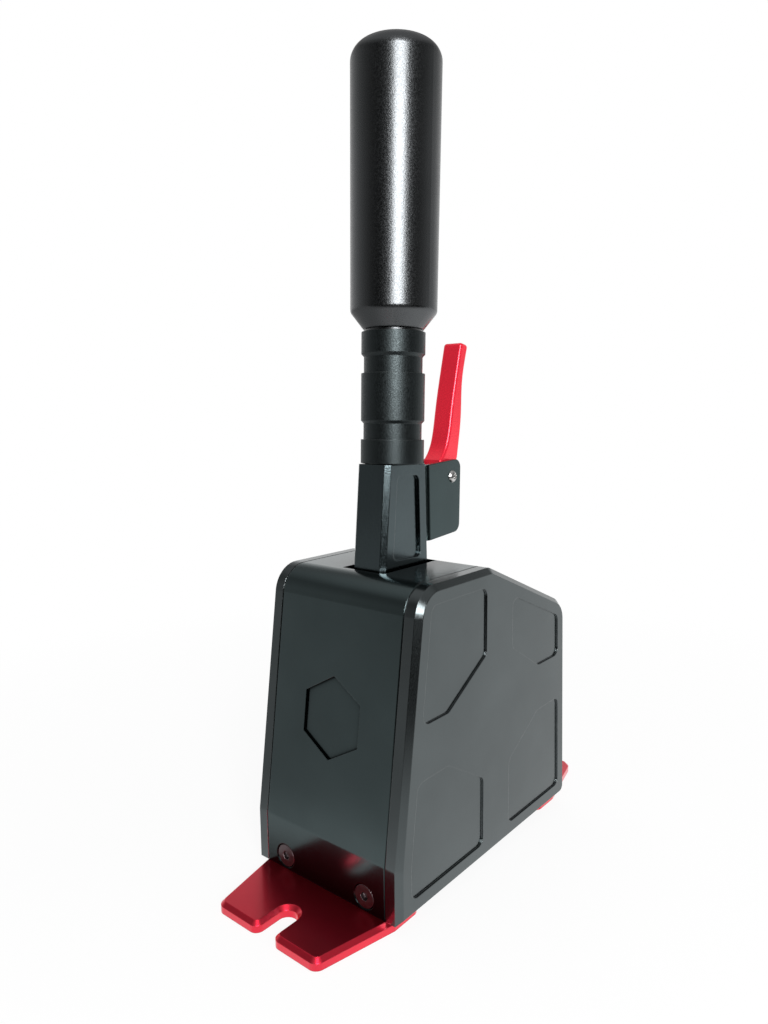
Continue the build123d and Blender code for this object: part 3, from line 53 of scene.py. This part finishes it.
LEVER_PIVOT = Vector(next(j["pos_m"] for j in frame["joints"] if j["name"] == "lever_rock"))
LEVER_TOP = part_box("grip")[1]

# How far the painted shade in seams and gaps reaches.
SEAM_SHADE_REACH = 0.0016
# How far the painted shade near the cover's inner corners reaches.
COVER_CORNER_SHADE_REACH = 0.03
CLOUD_SIZE = 0.03
RUB_SIZE = 0.006
# Lighter red along the edges of the feet and trigger: wear plus a painted edge highlight.
RED_EDGE_WEAR_AND_HIGHLIGHT = (0.95, 0.12, 0.17)
WHITE = (1, 1, 1, 1)
BLACK = (0, 0, 0, 1)

# Sockets of the Mix node when it blends colours
MIX_SHARE, MIX_FIRST, MIX_SECOND, MIX_RESULT = 0, 6, 7, 2

# Ways across the table, level and one metre long
TO_THE_BACK = (-0.64, 0.77, 0)
TO_THE_LEFT_FRONT = (-0.62, -0.78, 0)
TO_THE_RIGHT_FRONT = (0.78, -0.62, 0)

ROOM_FALL_OFF = 1.5
ROOM_SOFT_LIGHT = 0.4
SHADOW_SHARE = 0.88
TABLE_GAP = 0.0001


# Sizes and colours


def colour_property(name, description, default):
    return bpy.props.FloatVectorProperty(
        name=name, description=description, default=default, subtype="COLOR", size=3, min=0, max=1
    )


def length_property(name, description, default, most=1.0):
    return bpy.props.FloatProperty(
        name=name, description=description, default=default, subtype="DISTANCE", unit="LENGTH",
        min=0, max=most,
    )


class ShifterFinishes(bpy.types.PropertyGroup):
    plate_black: colour_property(
        "Plate black", "Dyed black of the thick side plates", (0.1, 0.115, 0.118)
    )
    sheet_black: colour_property(
        "Sheet black", "Dyed black of the bent covers", (0.085, 0.112, 0.115)
    )
    lever_black: colour_property(
        "Lever black", "Dyed black of the flat arm", (0.078, 0.1, 0.106)
    )
    bracket_black: colour_property(
        "Bracket black", "Dyed black of the folded bracket", (0.06, 0.084, 0.086)
    )
    stem_black: colour_property(
        "Stem black", "Dyed black of the ringed stem", (0.046, 0.055, 0.057)
    )
    grip_black: colour_property(
        "Grip black", "Dyed black of the blasted grip", (0.1, 0.105, 0.109)
    )
    # Edge tone: wear where the black is rubbed thin, plus a painted highlight along the edges.
    edge_wear_and_highlight: colour_property(
        "Edge tone", "Where the black is worn thin along its edges", (0.26, 0.27, 0.275)
    )
    foot_red: colour_property("Foot red", "Dyed red of the feet", (0.86, 0.018, 0.05))
    trigger_red: colour_property("Trigger red", "Dyed red of the trigger", (0.92, 0.018, 0.045))
    blasted_grain: length_property(
        "Blasted grain", "Size of the pits that bead blasting leaves", 0.0003, 0.01
    )
    grip_grain: length_property("Grip grain", "Size of the coarser pits of the grip", 0.0006, 0.01)


class ShifterStudio(bpy.types.PropertyGroup):
    camera_place: bpy.props.FloatVectorProperty(
        name="Camera place", description="Where the camera stands", size=3,
        default=(0.20434, -0.2709, 0.1977), subtype="XYZ_LENGTH", unit="LENGTH",
    )
    camera_yaw: bpy.props.FloatProperty(
        name="Camera turn", description="How far the camera is turned to its left of +Y",
        default=math.radians(39.81), subtype="ANGLE", unit="ROTATION",
    )
    camera_pitch: bpy.props.FloatProperty(
        name="Camera tilt", description="How far the camera looks down",
        default=math.radians(7.66), subtype="ANGLE", unit="ROTATION",
    )
    camera_roll: bpy.props.FloatProperty(
        name="Camera roll", description="How far the camera leans about its own line of sight",
        default=math.radians(-0.61), subtype="ANGLE", unit="ROTATION",
    )
    lens: bpy.props.FloatProperty(
        name="Lens", description="Focal length on a sensor 36 mm high", default=26.79, min=1,
        unit="CAMERA",
    )
    floor_white: colour_property("Floor white", "Colour of the table top", (0.88, 0.88, 0.88))
    floor_radius: length_property("Floor radius", "Radius of the round table top", 6.0, 50.0)


# Node helpers


def put(tree, socket, value):
    """Links an output to the socket, or sets the socket to a number or colour."""
    if isinstance(value, bpy.types.NodeSocket):
        tree.links.new(value, socket)
    else:
        socket.default_value = value


def add(tree, kind, inputs=None, **settings):
    """A new node with its settings and its inputs."""
    node = tree.nodes.new(kind)
    for name, value in settings.items():
        setattr(node, name, value)
    for name, value in (inputs or {}).items():
        put(tree, node.inputs[name], value)
    return node


def four(colour):
    return (*colour, 1.0)


def empty_tree(owner):
    """The node tree of a new material or world, with no nodes in it."""
    owner.use_nodes = True
    owner.node_tree.nodes.clear()
    return owner.node_tree


def start_finish(name, **shader_inputs):
    material = bpy.data.materials.new(name)
    tree = empty_tree(material)
    shader = add(tree, "ShaderNodeBsdfPrincipled", shader_inputs)
    add(tree, "ShaderNodeOutputMaterial", {"Surface": shader.outputs["BSDF"]})
    return material, tree, shader


def place(tree, turn=(0, 0, 0), stretch=(1, 1, 1)):
    """The piece's own coordinates in metres, turned and stretched."""
    own = add(tree, "ShaderNodeTexCoord")
    mapping = add(
        tree, "ShaderNodeMapping",
        {"Vector": own.outputs["Object"], "Rotation": turn, "Scale": stretch},
    )
    return mapping.outputs["Vector"]


def noise(tree, where, size, detail=2.0, roughness=0.5):
    """Soft random spots about as large as size, from 0 to 1."""
    node = add(
        tree, "ShaderNodeTexNoise",
        {"Vector": where, "Scale": 1 / size, "Detail": detail, "Roughness": roughness},
    )
    return node.outputs["Fac"]


def spread(tree, value, low, high, to_low=0.0, to_high=1.0):
    node = add(
        tree, "ShaderNodeMapRange",
        {"Value": value, "From Min": low, "From Max": high, "To Min": to_low, "To Max": to_high},
    )
    return node.outputs["Result"]


def calculate(tree, operation, first, second=0.0):
    node = add(tree, "ShaderNodeMath", {0: first, 1: second}, operation=operation)
    return node.outputs["Value"]


def blend_colours(tree, share, first, second):
    node = add(tree, "ShaderNodeMix", data_type="RGBA")
    for index, value in ((MIX_SHARE, share), (MIX_FIRST, first), (MIX_SECOND, second)):
        put(tree, node.inputs[index], value)
    return node.outputs[MIX_RESULT]


def dot_product(tree, first, second):
    node = add(tree, "ShaderNodeVectorMath", {0: first, 1: second}, operation="DOT_PRODUCT")
    return node.outputs["Value"]


def open_to_light(tree, reach, samples):
    """How open a place is within reach, from 0 in a closed gap to 1 on a free face."""
    node = add(tree, "ShaderNodeAmbientOcclusion", {"Distance": reach}, samples=samples)
    return node.outputs["AO"]


def edges(tree, radius, sharp=0.35):
    """The share of edge, 0 on a face and 1 on an edge, and the normal with its edges rounded."""
    rounded = add(tree, "ShaderNodeBevel", {"Radius": radius}, samples=6).outputs["Normal"]
    plain = add(tree, "ShaderNodeNewGeometry").outputs["Normal"]
    return spread(tree, dot_product(tree, rounded, plain), 1.0, 1.0 - sharp), rounded


def relief(tree, height, depth, normal=None):
    inputs = {"Height": height, "Distance": depth, "Strength": 1.0}
    if normal is not None:
        inputs["Normal"] = normal
    return add(tree, "ShaderNodeBump", inputs).outputs["Normal"]


def finish_shader(tree, shader, colour, roughness, normal):
    for name, value in (("Base Color", colour), ("Roughness", roughness), ("Normal", normal)):
        put(tree, shader.inputs[name], value)


def scaled(colour, factor):
    """A colour made darker or lighter, no channel above 1."""
    return four([min(1.0, channel * factor) for channel in colour])


# Finishes


def dyed_aluminium(name, colour, edge, grain, rough=0.25, depth=0.000008, edge_radius=0.0005,
                   turn=(0, 0, 0), wear_and_highlight=1.0, sparkle=0.045, corner_shade_reach=0.0, **shader_inputs):
    """Blasted and dyed: fine pits, clouds in the dye, edges lighter where rubbed (wear plus a
    painted edge highlight), and painted shade in seams and gaps.

    sparkle is how far the pits vary the roughness, and the corner reach how far from an inner
    corner a painted shade darkens the colour.
    """
    material, tree, shader = start_finish(name, **{"Metallic": 1.0, **shader_inputs})
    where = place(tree, turn)
    clouds = noise(tree, where, CLOUD_SIZE, 3.0)
    pits = noise(tree, where, grain, 2.0, 0.6)
    edge_share, rounded = edges(tree, edge_radius)
    rubbed = spread(tree, noise(tree, where, RUB_SIZE, 3.0), 0.35, 0.7, 0.1 * wear_and_highlight, wear_and_highlight)
    # Edges lightened in rubbed patches: wear plus a painted edge highlight.
    worn = calculate(tree, "MULTIPLY", edge_share, rubbed)
    shade = blend_colours(
        tree, spread(tree, clouds, 0.3, 0.7), scaled(colour, 0.93), scaled(colour, 1.07)
    )
    shade = blend_colours(tree, worn, shade, four(edge))
    # Painted shade: ambient occlusion darkens the colour in seams, gaps and pocket corners.
    clear_of_painted_shade = spread(tree, open_to_light(tree, SEAM_SHADE_REACH, 6), 0.1, 0.45)
    # Painted shade near inner corners, such as on the cover just above the foot.
    if corner_shade_reach:
        corner = spread(tree, open_to_light(tree, corner_shade_reach, 8), 0.6, 0.95)
        clear_of_painted_shade = calculate(tree, "MULTIPLY", clear_of_painted_shade, corner)
    shade = blend_colours(tree, clear_of_painted_shade, scaled(colour, 0.05), shade)
    dull = spread(tree, pits, 0.3, 0.7, rough - sparkle, rough + sparkle)
    finish_shader(tree, shader, shade, dull, relief(tree, pits, depth, rounded))
    return material


def bare_metal(name, colour, rough=0.3, streaks=(1, 1, 1), streak_size=0.0006, depth=0.000006,
               turn=(0, 0, 0), edge_radius=0.0002):
    """Milled, ground, drawn or plated metal with fine tool marks along one way."""
    material, tree, shader = start_finish(name, **{"Metallic": 1.0, "Anisotropic": 0.3})
    where = place(tree, turn, streaks)
    marks = noise(tree, where, streak_size, 4.0, 0.65)
    clouds = noise(tree, place(tree), 0.008, 2.0)
    edge_share, rounded = edges(tree, edge_radius)
    shade = blend_colours(tree, marks, scaled(colour, 0.82), scaled(colour, 1.08))
    shade = blend_colours(tree, spread(tree, clouds, 0.45, 0.75), shade, scaled(colour, 0.75))
    # Lighter edges: polish plus a painted edge highlight.
    shade = blend_colours(tree, edge_share, shade, scaled(colour, 1.25))
    dull = spread(tree, marks, 0.25, 0.75, rough - 0.07, rough + 0.1)
    finish_shader(tree, shader, shade, dull, relief(tree, marks, depth, rounded))
    return material


def black_oxide(name):
    """Blackened steel of the countersunk screws, rims lighter: rubbed wear plus a painted highlight."""
    material, tree, shader = start_finish(name, **{"Metallic": 1.0})
    where = place(tree)
    clouds = noise(tree, where, 0.0012, 3.0)
    edge_share, rounded = edges(tree, 0.0003, 0.25)
    shade = blend_colours(tree, clouds, (0.09, 0.075, 0.08, 1), (0.14, 0.11, 0.115, 1))
    # Lighter rims: wear plus a painted highlight.
    shade = blend_colours(tree, edge_share, shade, (0.3, 0.24, 0.25, 1))
    dull = spread(tree, clouds, 0.3, 0.7, 0.3, 0.48)
    finish_shader(tree, shader, shade, dull, relief(tree, clouds, 0.00002, rounded))
    return material


def moulded_rubber(name):
    material, tree, shader = start_finish(name, **{"Specular IOR Level": 0.35})
    where = place(tree)
    grain = noise(tree, where, 0.0004, 3.0)
    dust = noise(tree, where, 0.004, 3.0)
    shade = blend_colours(
        tree, spread(tree, dust, 0.5, 0.8), (0.02, 0.02, 0.021, 1), (0.06, 0.058, 0.055, 1)
    )
    dull = spread(tree, grain, 0.3, 0.7, 0.65, 0.85)
    finish_shader(tree, shader, shade, dull, relief(tree, grain, 0.00004))
    return material


def circuit_board(name):
    """Green solder mask over tracks, with the glass weave just showing."""
    material, tree, shader = start_finish(name, **{"Specular IOR Level": 0.5, "Coat Weight": 0.4})
    where = place(tree)
    tracks = add(
        tree, "ShaderNodeTexBrick",
        {"Vector": place(tree, (math.radians(90), 0, math.radians(90))), "Scale": 420.0,
         "Mortar Size": 0.12, "Mortar Smooth": 0.1, "Color1": BLACK, "Color2": BLACK,
         "Mortar": WHITE},
    )
    weave = noise(tree, where, 0.0004, 1.0)
    shade = blend_colours(
        tree, tracks.outputs["Color"], (0.006, 0.05, 0.022, 1), (0.02, 0.12, 0.05, 1)
    )
    weave_share = spread(tree, weave, 0.4, 0.8, 0.0, 0.25)
    shade = blend_colours(tree, weave_share, shade, (0.03, 0.1, 0.05, 1))
    normal = relief(tree, tracks.outputs["Fac"], 0.00003)
    finish_shader(tree, shader, shade, 0.35, relief(tree, weave, 0.000005, normal))
    return material


def chip_plastic(name):
    material, tree, shader = start_finish(name, **{"Specular IOR Level": 0.4})
    grain = noise(tree, place(tree), 0.0001, 2.0)
    shade = blend_colours(tree, grain, (0.012, 0.012, 0.013, 1), (0.03, 0.03, 0.032, 1))
    finish_shader(tree, shader, shade, 0.55, relief(tree, grain, 0.00001))
    return material


def node_finishes():
    """Which finish each material slot of the part takes."""
    finishes = bpy.context.scene.shifter_finishes
    grain = finishes.blasted_grain
    edge = finishes.edge_wear_and_highlight
    coarse = finishes.grip_grain
    axis = LEVER_TOP - LEVER_PIVOT
    lean = (math.atan2(axis.y, axis.z), 0, 0)
    return {
        "black_plate": dyed_aluminium(
            "plate_anodised", finishes.plate_black, edge, grain, rough=0.2, wear_and_highlight=0.4
        ),
        "black_sheet": dyed_aluminium(
            "cover_anodised", finishes.sheet_black, edge, grain, rough=0.2, depth=0.000005,
            wear_and_highlight=0.1, corner_shade_reach=COVER_CORNER_SHADE_REACH,
        ),
        "base_sheet": dyed_aluminium(
            "base_anodised", finishes.plate_black, edge, grain, rough=0.3
        ),
        "black_arm": dyed_aluminium(
            "arm_anodised", finishes.lever_black, edge, coarse, rough=0.17, depth=0.00003, wear_and_highlight=0.4
        ),
        "black_bracket": dyed_aluminium(
            "bracket_anodised", finishes.bracket_black, edge, grain, rough=0.22
        ),
        "black_turned": dyed_aluminium(
            "stem_anodised", finishes.stem_black, edge, coarse, rough=0.42, depth=0.00005,
            turn=lean, sparkle=0.1, wear_and_highlight=0.5,
        ),
        "black_grip": dyed_aluminium(
            "grip_blasted", finishes.grip_black, edge, coarse, rough=0.28, depth=0.00004,
            turn=lean, sparkle=0.07, wear_and_highlight=0.5,
        ),
        "red_foot": dyed_aluminium(
            "foot_dyed", finishes.foot_red, RED_EDGE_WEAR_AND_HIGHLIGHT, grain, rough=0.32, depth=0.00001,
            **{"Coat Weight": 0.7, "Coat Roughness": 0.15},
        ),
        "red_trigger": dyed_aluminium(
            "trigger_dyed", finishes.trigger_red, RED_EDGE_WEAR_AND_HIGHLIGHT, grain, rough=0.26, depth=0.00001,
            **{"Metallic": 0.5, "Coat Weight": 0.4, "Coat Roughness": 0.2},
        ),
        "raw_aluminium": bare_metal(
            "milled_aluminium", (0.62, 0.63, 0.65), rough=0.34, streaks=(1, 0.08, 1)
        ),
        "black_screws": black_oxide("screw_black"),
        "steel_screws": bare_metal(
            "screw_zinc", (0.5, 0.5, 0.51), rough=0.32, streak_size=0.0008
        ),
        "bearing_steel": bare_metal(
            "bearing_ground", (0.56, 0.57, 0.58), rough=0.18, streaks=(0.1, 1, 1)
        ),
        "spring_steel": bare_metal(
            "spring_wire", (0.46, 0.46, 0.47), rough=0.26, streak_size=0.0004
        ),
        "stop_rubber": moulded_rubber("stop_rubber_black"),
        "circuit_board": circuit_board("board_green"),
        "chip_plastic": chip_plastic("chip_black"),
        "socket_shell": bare_metal(
            "socket_plated", (0.66, 0.66, 0.65), rough=0.24, streaks=(1, 0.2, 1)
        ),
        "stainless": bare_metal(
            "pivot_stainless", (0.62, 0.62, 0.61), rough=0.24, streak_size=0.0005
        ),
        "magnet": bare_metal("magnet_nickel", (0.58, 0.57, 0.54), rough=0.15),
        "brass_rod": bare_metal(
            "rod_brass", (0.68, 0.46, 0.17), rough=0.26, streaks=(1, 1, 0.1)
        ),
    }


FINISHES = {}


def dress(nodes):
    """Gives each CAD node the finish of its material slot."""
    slot_of = {part["node"]: part["material_slot"] for part in frame["record"]["subparts"]}
    if not FINISHES:
        FINISHES.update(node_finishes())
    for node in nodes:
        piece = frame["nodes"][node]
        piece.data.materials.clear()
        piece.data.materials.append(FINISHES[slot_of[node]])


# Operators


class PieceOperator:
    bl_options = {"REGISTER", "UNDO"}
    nodes = ()

    def execute(self, context):
        dress(self.nodes)
        return {"FINISHED"}


class SHIFTER_OT_side_plates(PieceOperator, bpy.types.Operator):
    """Finishes the two thick side plates"""

    bl_idname = "shifter.side_plates"
    bl_label = "Side plates"
    nodes = ("right_side_plate", "left_side_plate")


class SHIFTER_OT_covers(PieceOperator, bpy.types.Operator):
    """Finishes the bent front and top cover, the rear cover and the base"""

    bl_idname = "shifter.covers"
    bl_label = "Covers and base"
    nodes = ("top_cover", "rear_cover", "base_plate")


class SHIFTER_OT_feet(PieceOperator, bpy.types.Operator):
    """Finishes the two red feet"""

    bl_idname = "shifter.feet"
    bl_label = "Feet"
    nodes = ("front_foot", "rear_foot")


class SHIFTER_OT_screws(PieceOperator, bpy.types.Operator):
    """Finishes the screws"""

    bl_idname = "shifter.screws"
    bl_label = "Screws"
    nodes = (
        "front_cover_screws", "rear_cover_screws", "top_cover_screws", "foot_screws", "base_screws",
        "member_screws", "preload_screws",
    )


class SHIFTER_OT_bars(PieceOperator, bpy.types.Operator):
    """Finishes the bars and blocks between the plates"""

    bl_idname = "shifter.bars"
    bl_label = "Bars and blocks"
    nodes = (
        "front_lower_bar", "rear_lower_bar", "upper_rear_bar", "front_spring_block",
        "rear_spring_block", "fixed_spring_seats", "bump_stops",
    )


class SHIFTER_OT_pivot(PieceOperator, bpy.types.Operator):
    """Finishes the pivot shaft with its bearings and spacers, and the centring springs"""

    bl_idname = "shifter.pivot"
    bl_label = "Pivot and springs"
    nodes = (
        "pivot_shaft", "pivot_spacers", "pivot_bearings", "front_centring_spring",
        "rear_centring_spring", "moving_spring_seats", "magnet_holder", "sensor_magnet",
    )


class SHIFTER_OT_lever(PieceOperator, bpy.types.Operator):
    """Finishes the arm, the stem and the grip"""

    bl_idname = "shifter.lever"
    bl_label = "Lever"
    nodes = ("lever_arm", "lever_stud", "lever_stem", "grip")


class SHIFTER_OT_trigger(PieceOperator, bpy.types.Operator):
    """Finishes the trigger, its bracket, screws, rod and spring"""

    bl_idname = "shifter.trigger"
    bl_label = "Trigger"
    nodes = (
        "trigger", "trigger_bracket", "bracket_screws", "trigger_pivot_screw", "trigger_pivot_nut",
        "push_rod", "rod_magnet", "trigger_return_spring", "trigger_sensor_board",
    )


class SHIFTER_OT_electronics(PieceOperator, bpy.types.Operator):
    """Finishes the sensor board with its chips, standoffs and socket"""

    bl_idname = "shifter.electronics"
    bl_label = "Electronics"
    nodes = ("sensor_board", "board_standoffs", "board_screws", "board_chips", "cable_socket")


def softbox(name, place_at, aim, size, radiance, mirrored=True):
    """A rectangular soft light that faces aim, size wide and high, as bright as radiance."""
    lamp = bpy.data.lights.new(name, "AREA")
    lamp.shape = "RECTANGLE"
    lamp.size, lamp.size_y = size
    lamp.energy = radiance * math.pi * size[0] * size[1]
    stand = bpy.data.objects.new(name, lamp)
    stand.location = place_at
    stand.rotation_euler = (Vector(aim) - Vector(place_at)).to_track_quat("-Z", "Y").to_euler()
    stand.visible_camera = False
    stand.visible_glossy = mirrored
    bpy.context.scene.collection.objects.link(stand)


def set_camera(studio):
    yaw, pitch, roll = studio.camera_yaw, studio.camera_pitch, studio.camera_roll
    forward = Vector(
        (-math.sin(yaw) * math.cos(pitch), math.cos(yaw) * math.cos(pitch), -math.sin(pitch))
    )
    level_right = Vector((math.cos(yaw), math.sin(yaw), 0))
    level_up = level_right.cross(forward)
    right = math.cos(roll) * level_right + math.sin(roll) * level_up
    up = math.cos(roll) * level_up - math.sin(roll) * level_right
    lens = bpy.data.cameras.new("camera")
    lens.lens = studio.lens
    lens.sensor_width = 36
    lens.clip_start = 0.005
    camera = bpy.data.objects.new("camera", lens)
    turn = Matrix((right, up, -forward)).transposed().to_4x4()
    camera.matrix_world = Matrix.Translation(studio.camera_place) @ turn
    bpy.context.scene.collection.objects.link(camera)
    bpy.context.scene.camera = camera


def set_world():
    """A white room behind the shifter that falls off into a dark one in front of it."""
    world = bpy.data.worlds.new("studio")
    tree = empty_tree(world)
    direction = add(tree, "ShaderNodeTexCoord").outputs["Generated"]
    height = add(tree, "ShaderNodeSeparateXYZ", {"Vector": direction}).outputs["Z"]
    behind = spread(tree, dot_product(tree, direction, TO_THE_BACK), -0.9, 1.0)
    ring = calculate(tree, "POWER", behind, ROOM_FALL_OFF)
    walls = calculate(tree, "MULTIPLY", ring, spread(tree, height, 0.25, 0.75, 1.0, 0.15))
    room = calculate(tree, "MAXIMUM", walls, spread(tree, height, 0.5, 0.8, 0.01, 0.5))
    path = add(tree, "ShaderNodeLightPath").outputs
    mirrored = calculate(tree, "MULTIPLY", path["Is Glossy Ray"], room)
    straight = calculate(tree, "MAXIMUM", path["Is Camera Ray"], path["Is Transmission Ray"])
    soft = calculate(tree, "MULTIPLY", path["Is Diffuse Ray"], ROOM_SOFT_LIGHT)
    strength = calculate(tree, "MAXIMUM", calculate(tree, "MAXIMUM", straight, mirrored), soft)
    back = add(tree, "ShaderNodeBackground", {"Color": WHITE, "Strength": strength})
    add(tree, "ShaderNodeOutputWorld", {"Surface": back.outputs["Background"]})
    bpy.context.scene.world = world


def table_finish(studio):
    """White table with a faint shadow near the shifter; what lies in front is dim in gloss."""
    material = bpy.data.materials.new("table_white")
    tree = empty_tree(material)
    where = add(tree, "ShaderNodeNewGeometry").outputs["Position"]
    away = add(tree, "ShaderNodeVectorMath", {0: where}, operation="LENGTH").outputs["Value"]
    to_left = dot_product(tree, where, TO_THE_LEFT_FRONT)
    to_right = dot_product(tree, where, TO_THE_RIGHT_FRONT)
    left_front = spread(tree, to_left, 0.05, 0.2, 1.0, 0.4)
    right_front = spread(tree, to_right, 0.12, 0.45, 1.0, 0.0)
    mirrored = calculate(tree, "MULTIPLY", left_front, right_front)
    path = add(tree, "ShaderNodeLightPath").outputs
    straight = calculate(tree, "MAXIMUM", path["Is Camera Ray"], path["Is Transmission Ray"])
    glossy = calculate(tree, "MULTIPLY", path["Is Glossy Ray"], mirrored)
    glow_level = calculate(tree, "MAXIMUM", straight, glossy)
    matt = add(tree, "ShaderNodeBsdfDiffuse", {"Color": four(studio.floor_white)})
    glow = add(tree, "ShaderNodeEmission", {"Color": WHITE, "Strength": glow_level})
    clear_of_shadow = spread(tree, away, 0.15, 0.45, SHADOW_SHARE, 1.0)
    seen = calculate(tree, "MULTIPLY", straight, clear_of_shadow)
    share = calculate(tree, "MAXIMUM", seen, path["Is Glossy Ray"])
    mixed = add(
        tree, "ShaderNodeMixShader",
        {0: share, 1: matt.outputs["BSDF"], 2: glow.outputs["Emission"]},
    )
    add(tree, "ShaderNodeOutputMaterial", {"Surface": mixed.outputs["Shader"]})
    return material


class SHIFTER_OT_stage(bpy.types.Operator):
    """Sets up the table, the camera, the lamps and the white room"""

    bl_idname = "shifter.stage"
    bl_label = "Stage"
    bl_options = {"REGISTER", "UNDO"}

    def execute(self, context):
        studio = context.scene.shifter_studio
        mesh = bpy.data.meshes.new("table")
        disc = bmesh.new()
        bmesh.ops.create_circle(disc, cap_ends=True, segments=96, radius=studio.floor_radius)
        disc.to_mesh(mesh)
        disc.free()
        table = bpy.data.objects.new("table", mesh)
        table.location.z = cad_box[0][2] - TABLE_GAP
        context.scene.collection.objects.link(table)
        mesh.materials.append(table_finish(studio))
        softbox(
            "tall_softbox", place_at=(0.83, -0.73, 0.62), aim=(0, 0, 0.29), size=(0.52, 0.7),
            radiance=14.0,
        )
        softbox(
            "side_softbox", place_at=(1.0, 0.85, 0.75), aim=(0, 0, 0.12), size=(1.0, 1.0),
            radiance=1.2, mirrored=False,
        )
        softbox(
            "top_softbox", place_at=(-0.3, 0.2, 1.5), aim=(0, 0, 0.1), size=(1.2, 1.2),
            radiance=1.1, mirrored=False,
        )
        set_camera(studio)
        set_world()
        context.scene.view_settings.view_transform = "Standard"
        return {"FINISHED"}


class SHIFTER_PT_panel(bpy.types.Panel):
    """The pieces of the shifter, and their sizes and colours"""

    bl_label = "Sequential shifter"
    bl_idname = "SHIFTER_PT_panel"
    bl_space_type = "VIEW_3D"
    bl_region_type = "UI"
    bl_category = "Shifter"

    def draw(self, context):
        layout = self.layout
        for operator in PIECES:
            layout.operator(operator.bl_idname)
        for group in (context.scene.shifter_finishes, context.scene.shifter_studio):
            box = layout.box()
            for name in group.bl_rna.properties.keys():
                if name not in ("rna_type", "name"):
                    box.prop(group, name)


PIECES = (
    SHIFTER_OT_side_plates,
    SHIFTER_OT_covers,
    SHIFTER_OT_feet,
    SHIFTER_OT_screws,
    SHIFTER_OT_bars,
    SHIFTER_OT_pivot,
    SHIFTER_OT_lever,
    SHIFTER_OT_trigger,
    SHIFTER_OT_electronics,
    SHIFTER_OT_stage,
)
CLASSES = (ShifterFinishes, ShifterStudio, *PIECES, SHIFTER_PT_panel)


def register():
    for item in CLASSES:
        bpy.utils.register_class(item)
    bpy.types.Scene.shifter_finishes = bpy.props.PointerProperty(type=ShifterFinishes)
    bpy.types.Scene.shifter_studio = bpy.props.PointerProperty(type=ShifterStudio)


def unregister():
    del bpy.types.Scene.shifter_studio
    del bpy.types.Scene.shifter_finishes
    for item in reversed(CLASSES):
        bpy.utils.unregister_class(item)


def main():
    register()
    for operator in PIECES:
        group, name = operator.bl_idname.split(".")
        getattr(getattr(bpy.ops, group), name)()


if __name__ == "__main__":
    main()
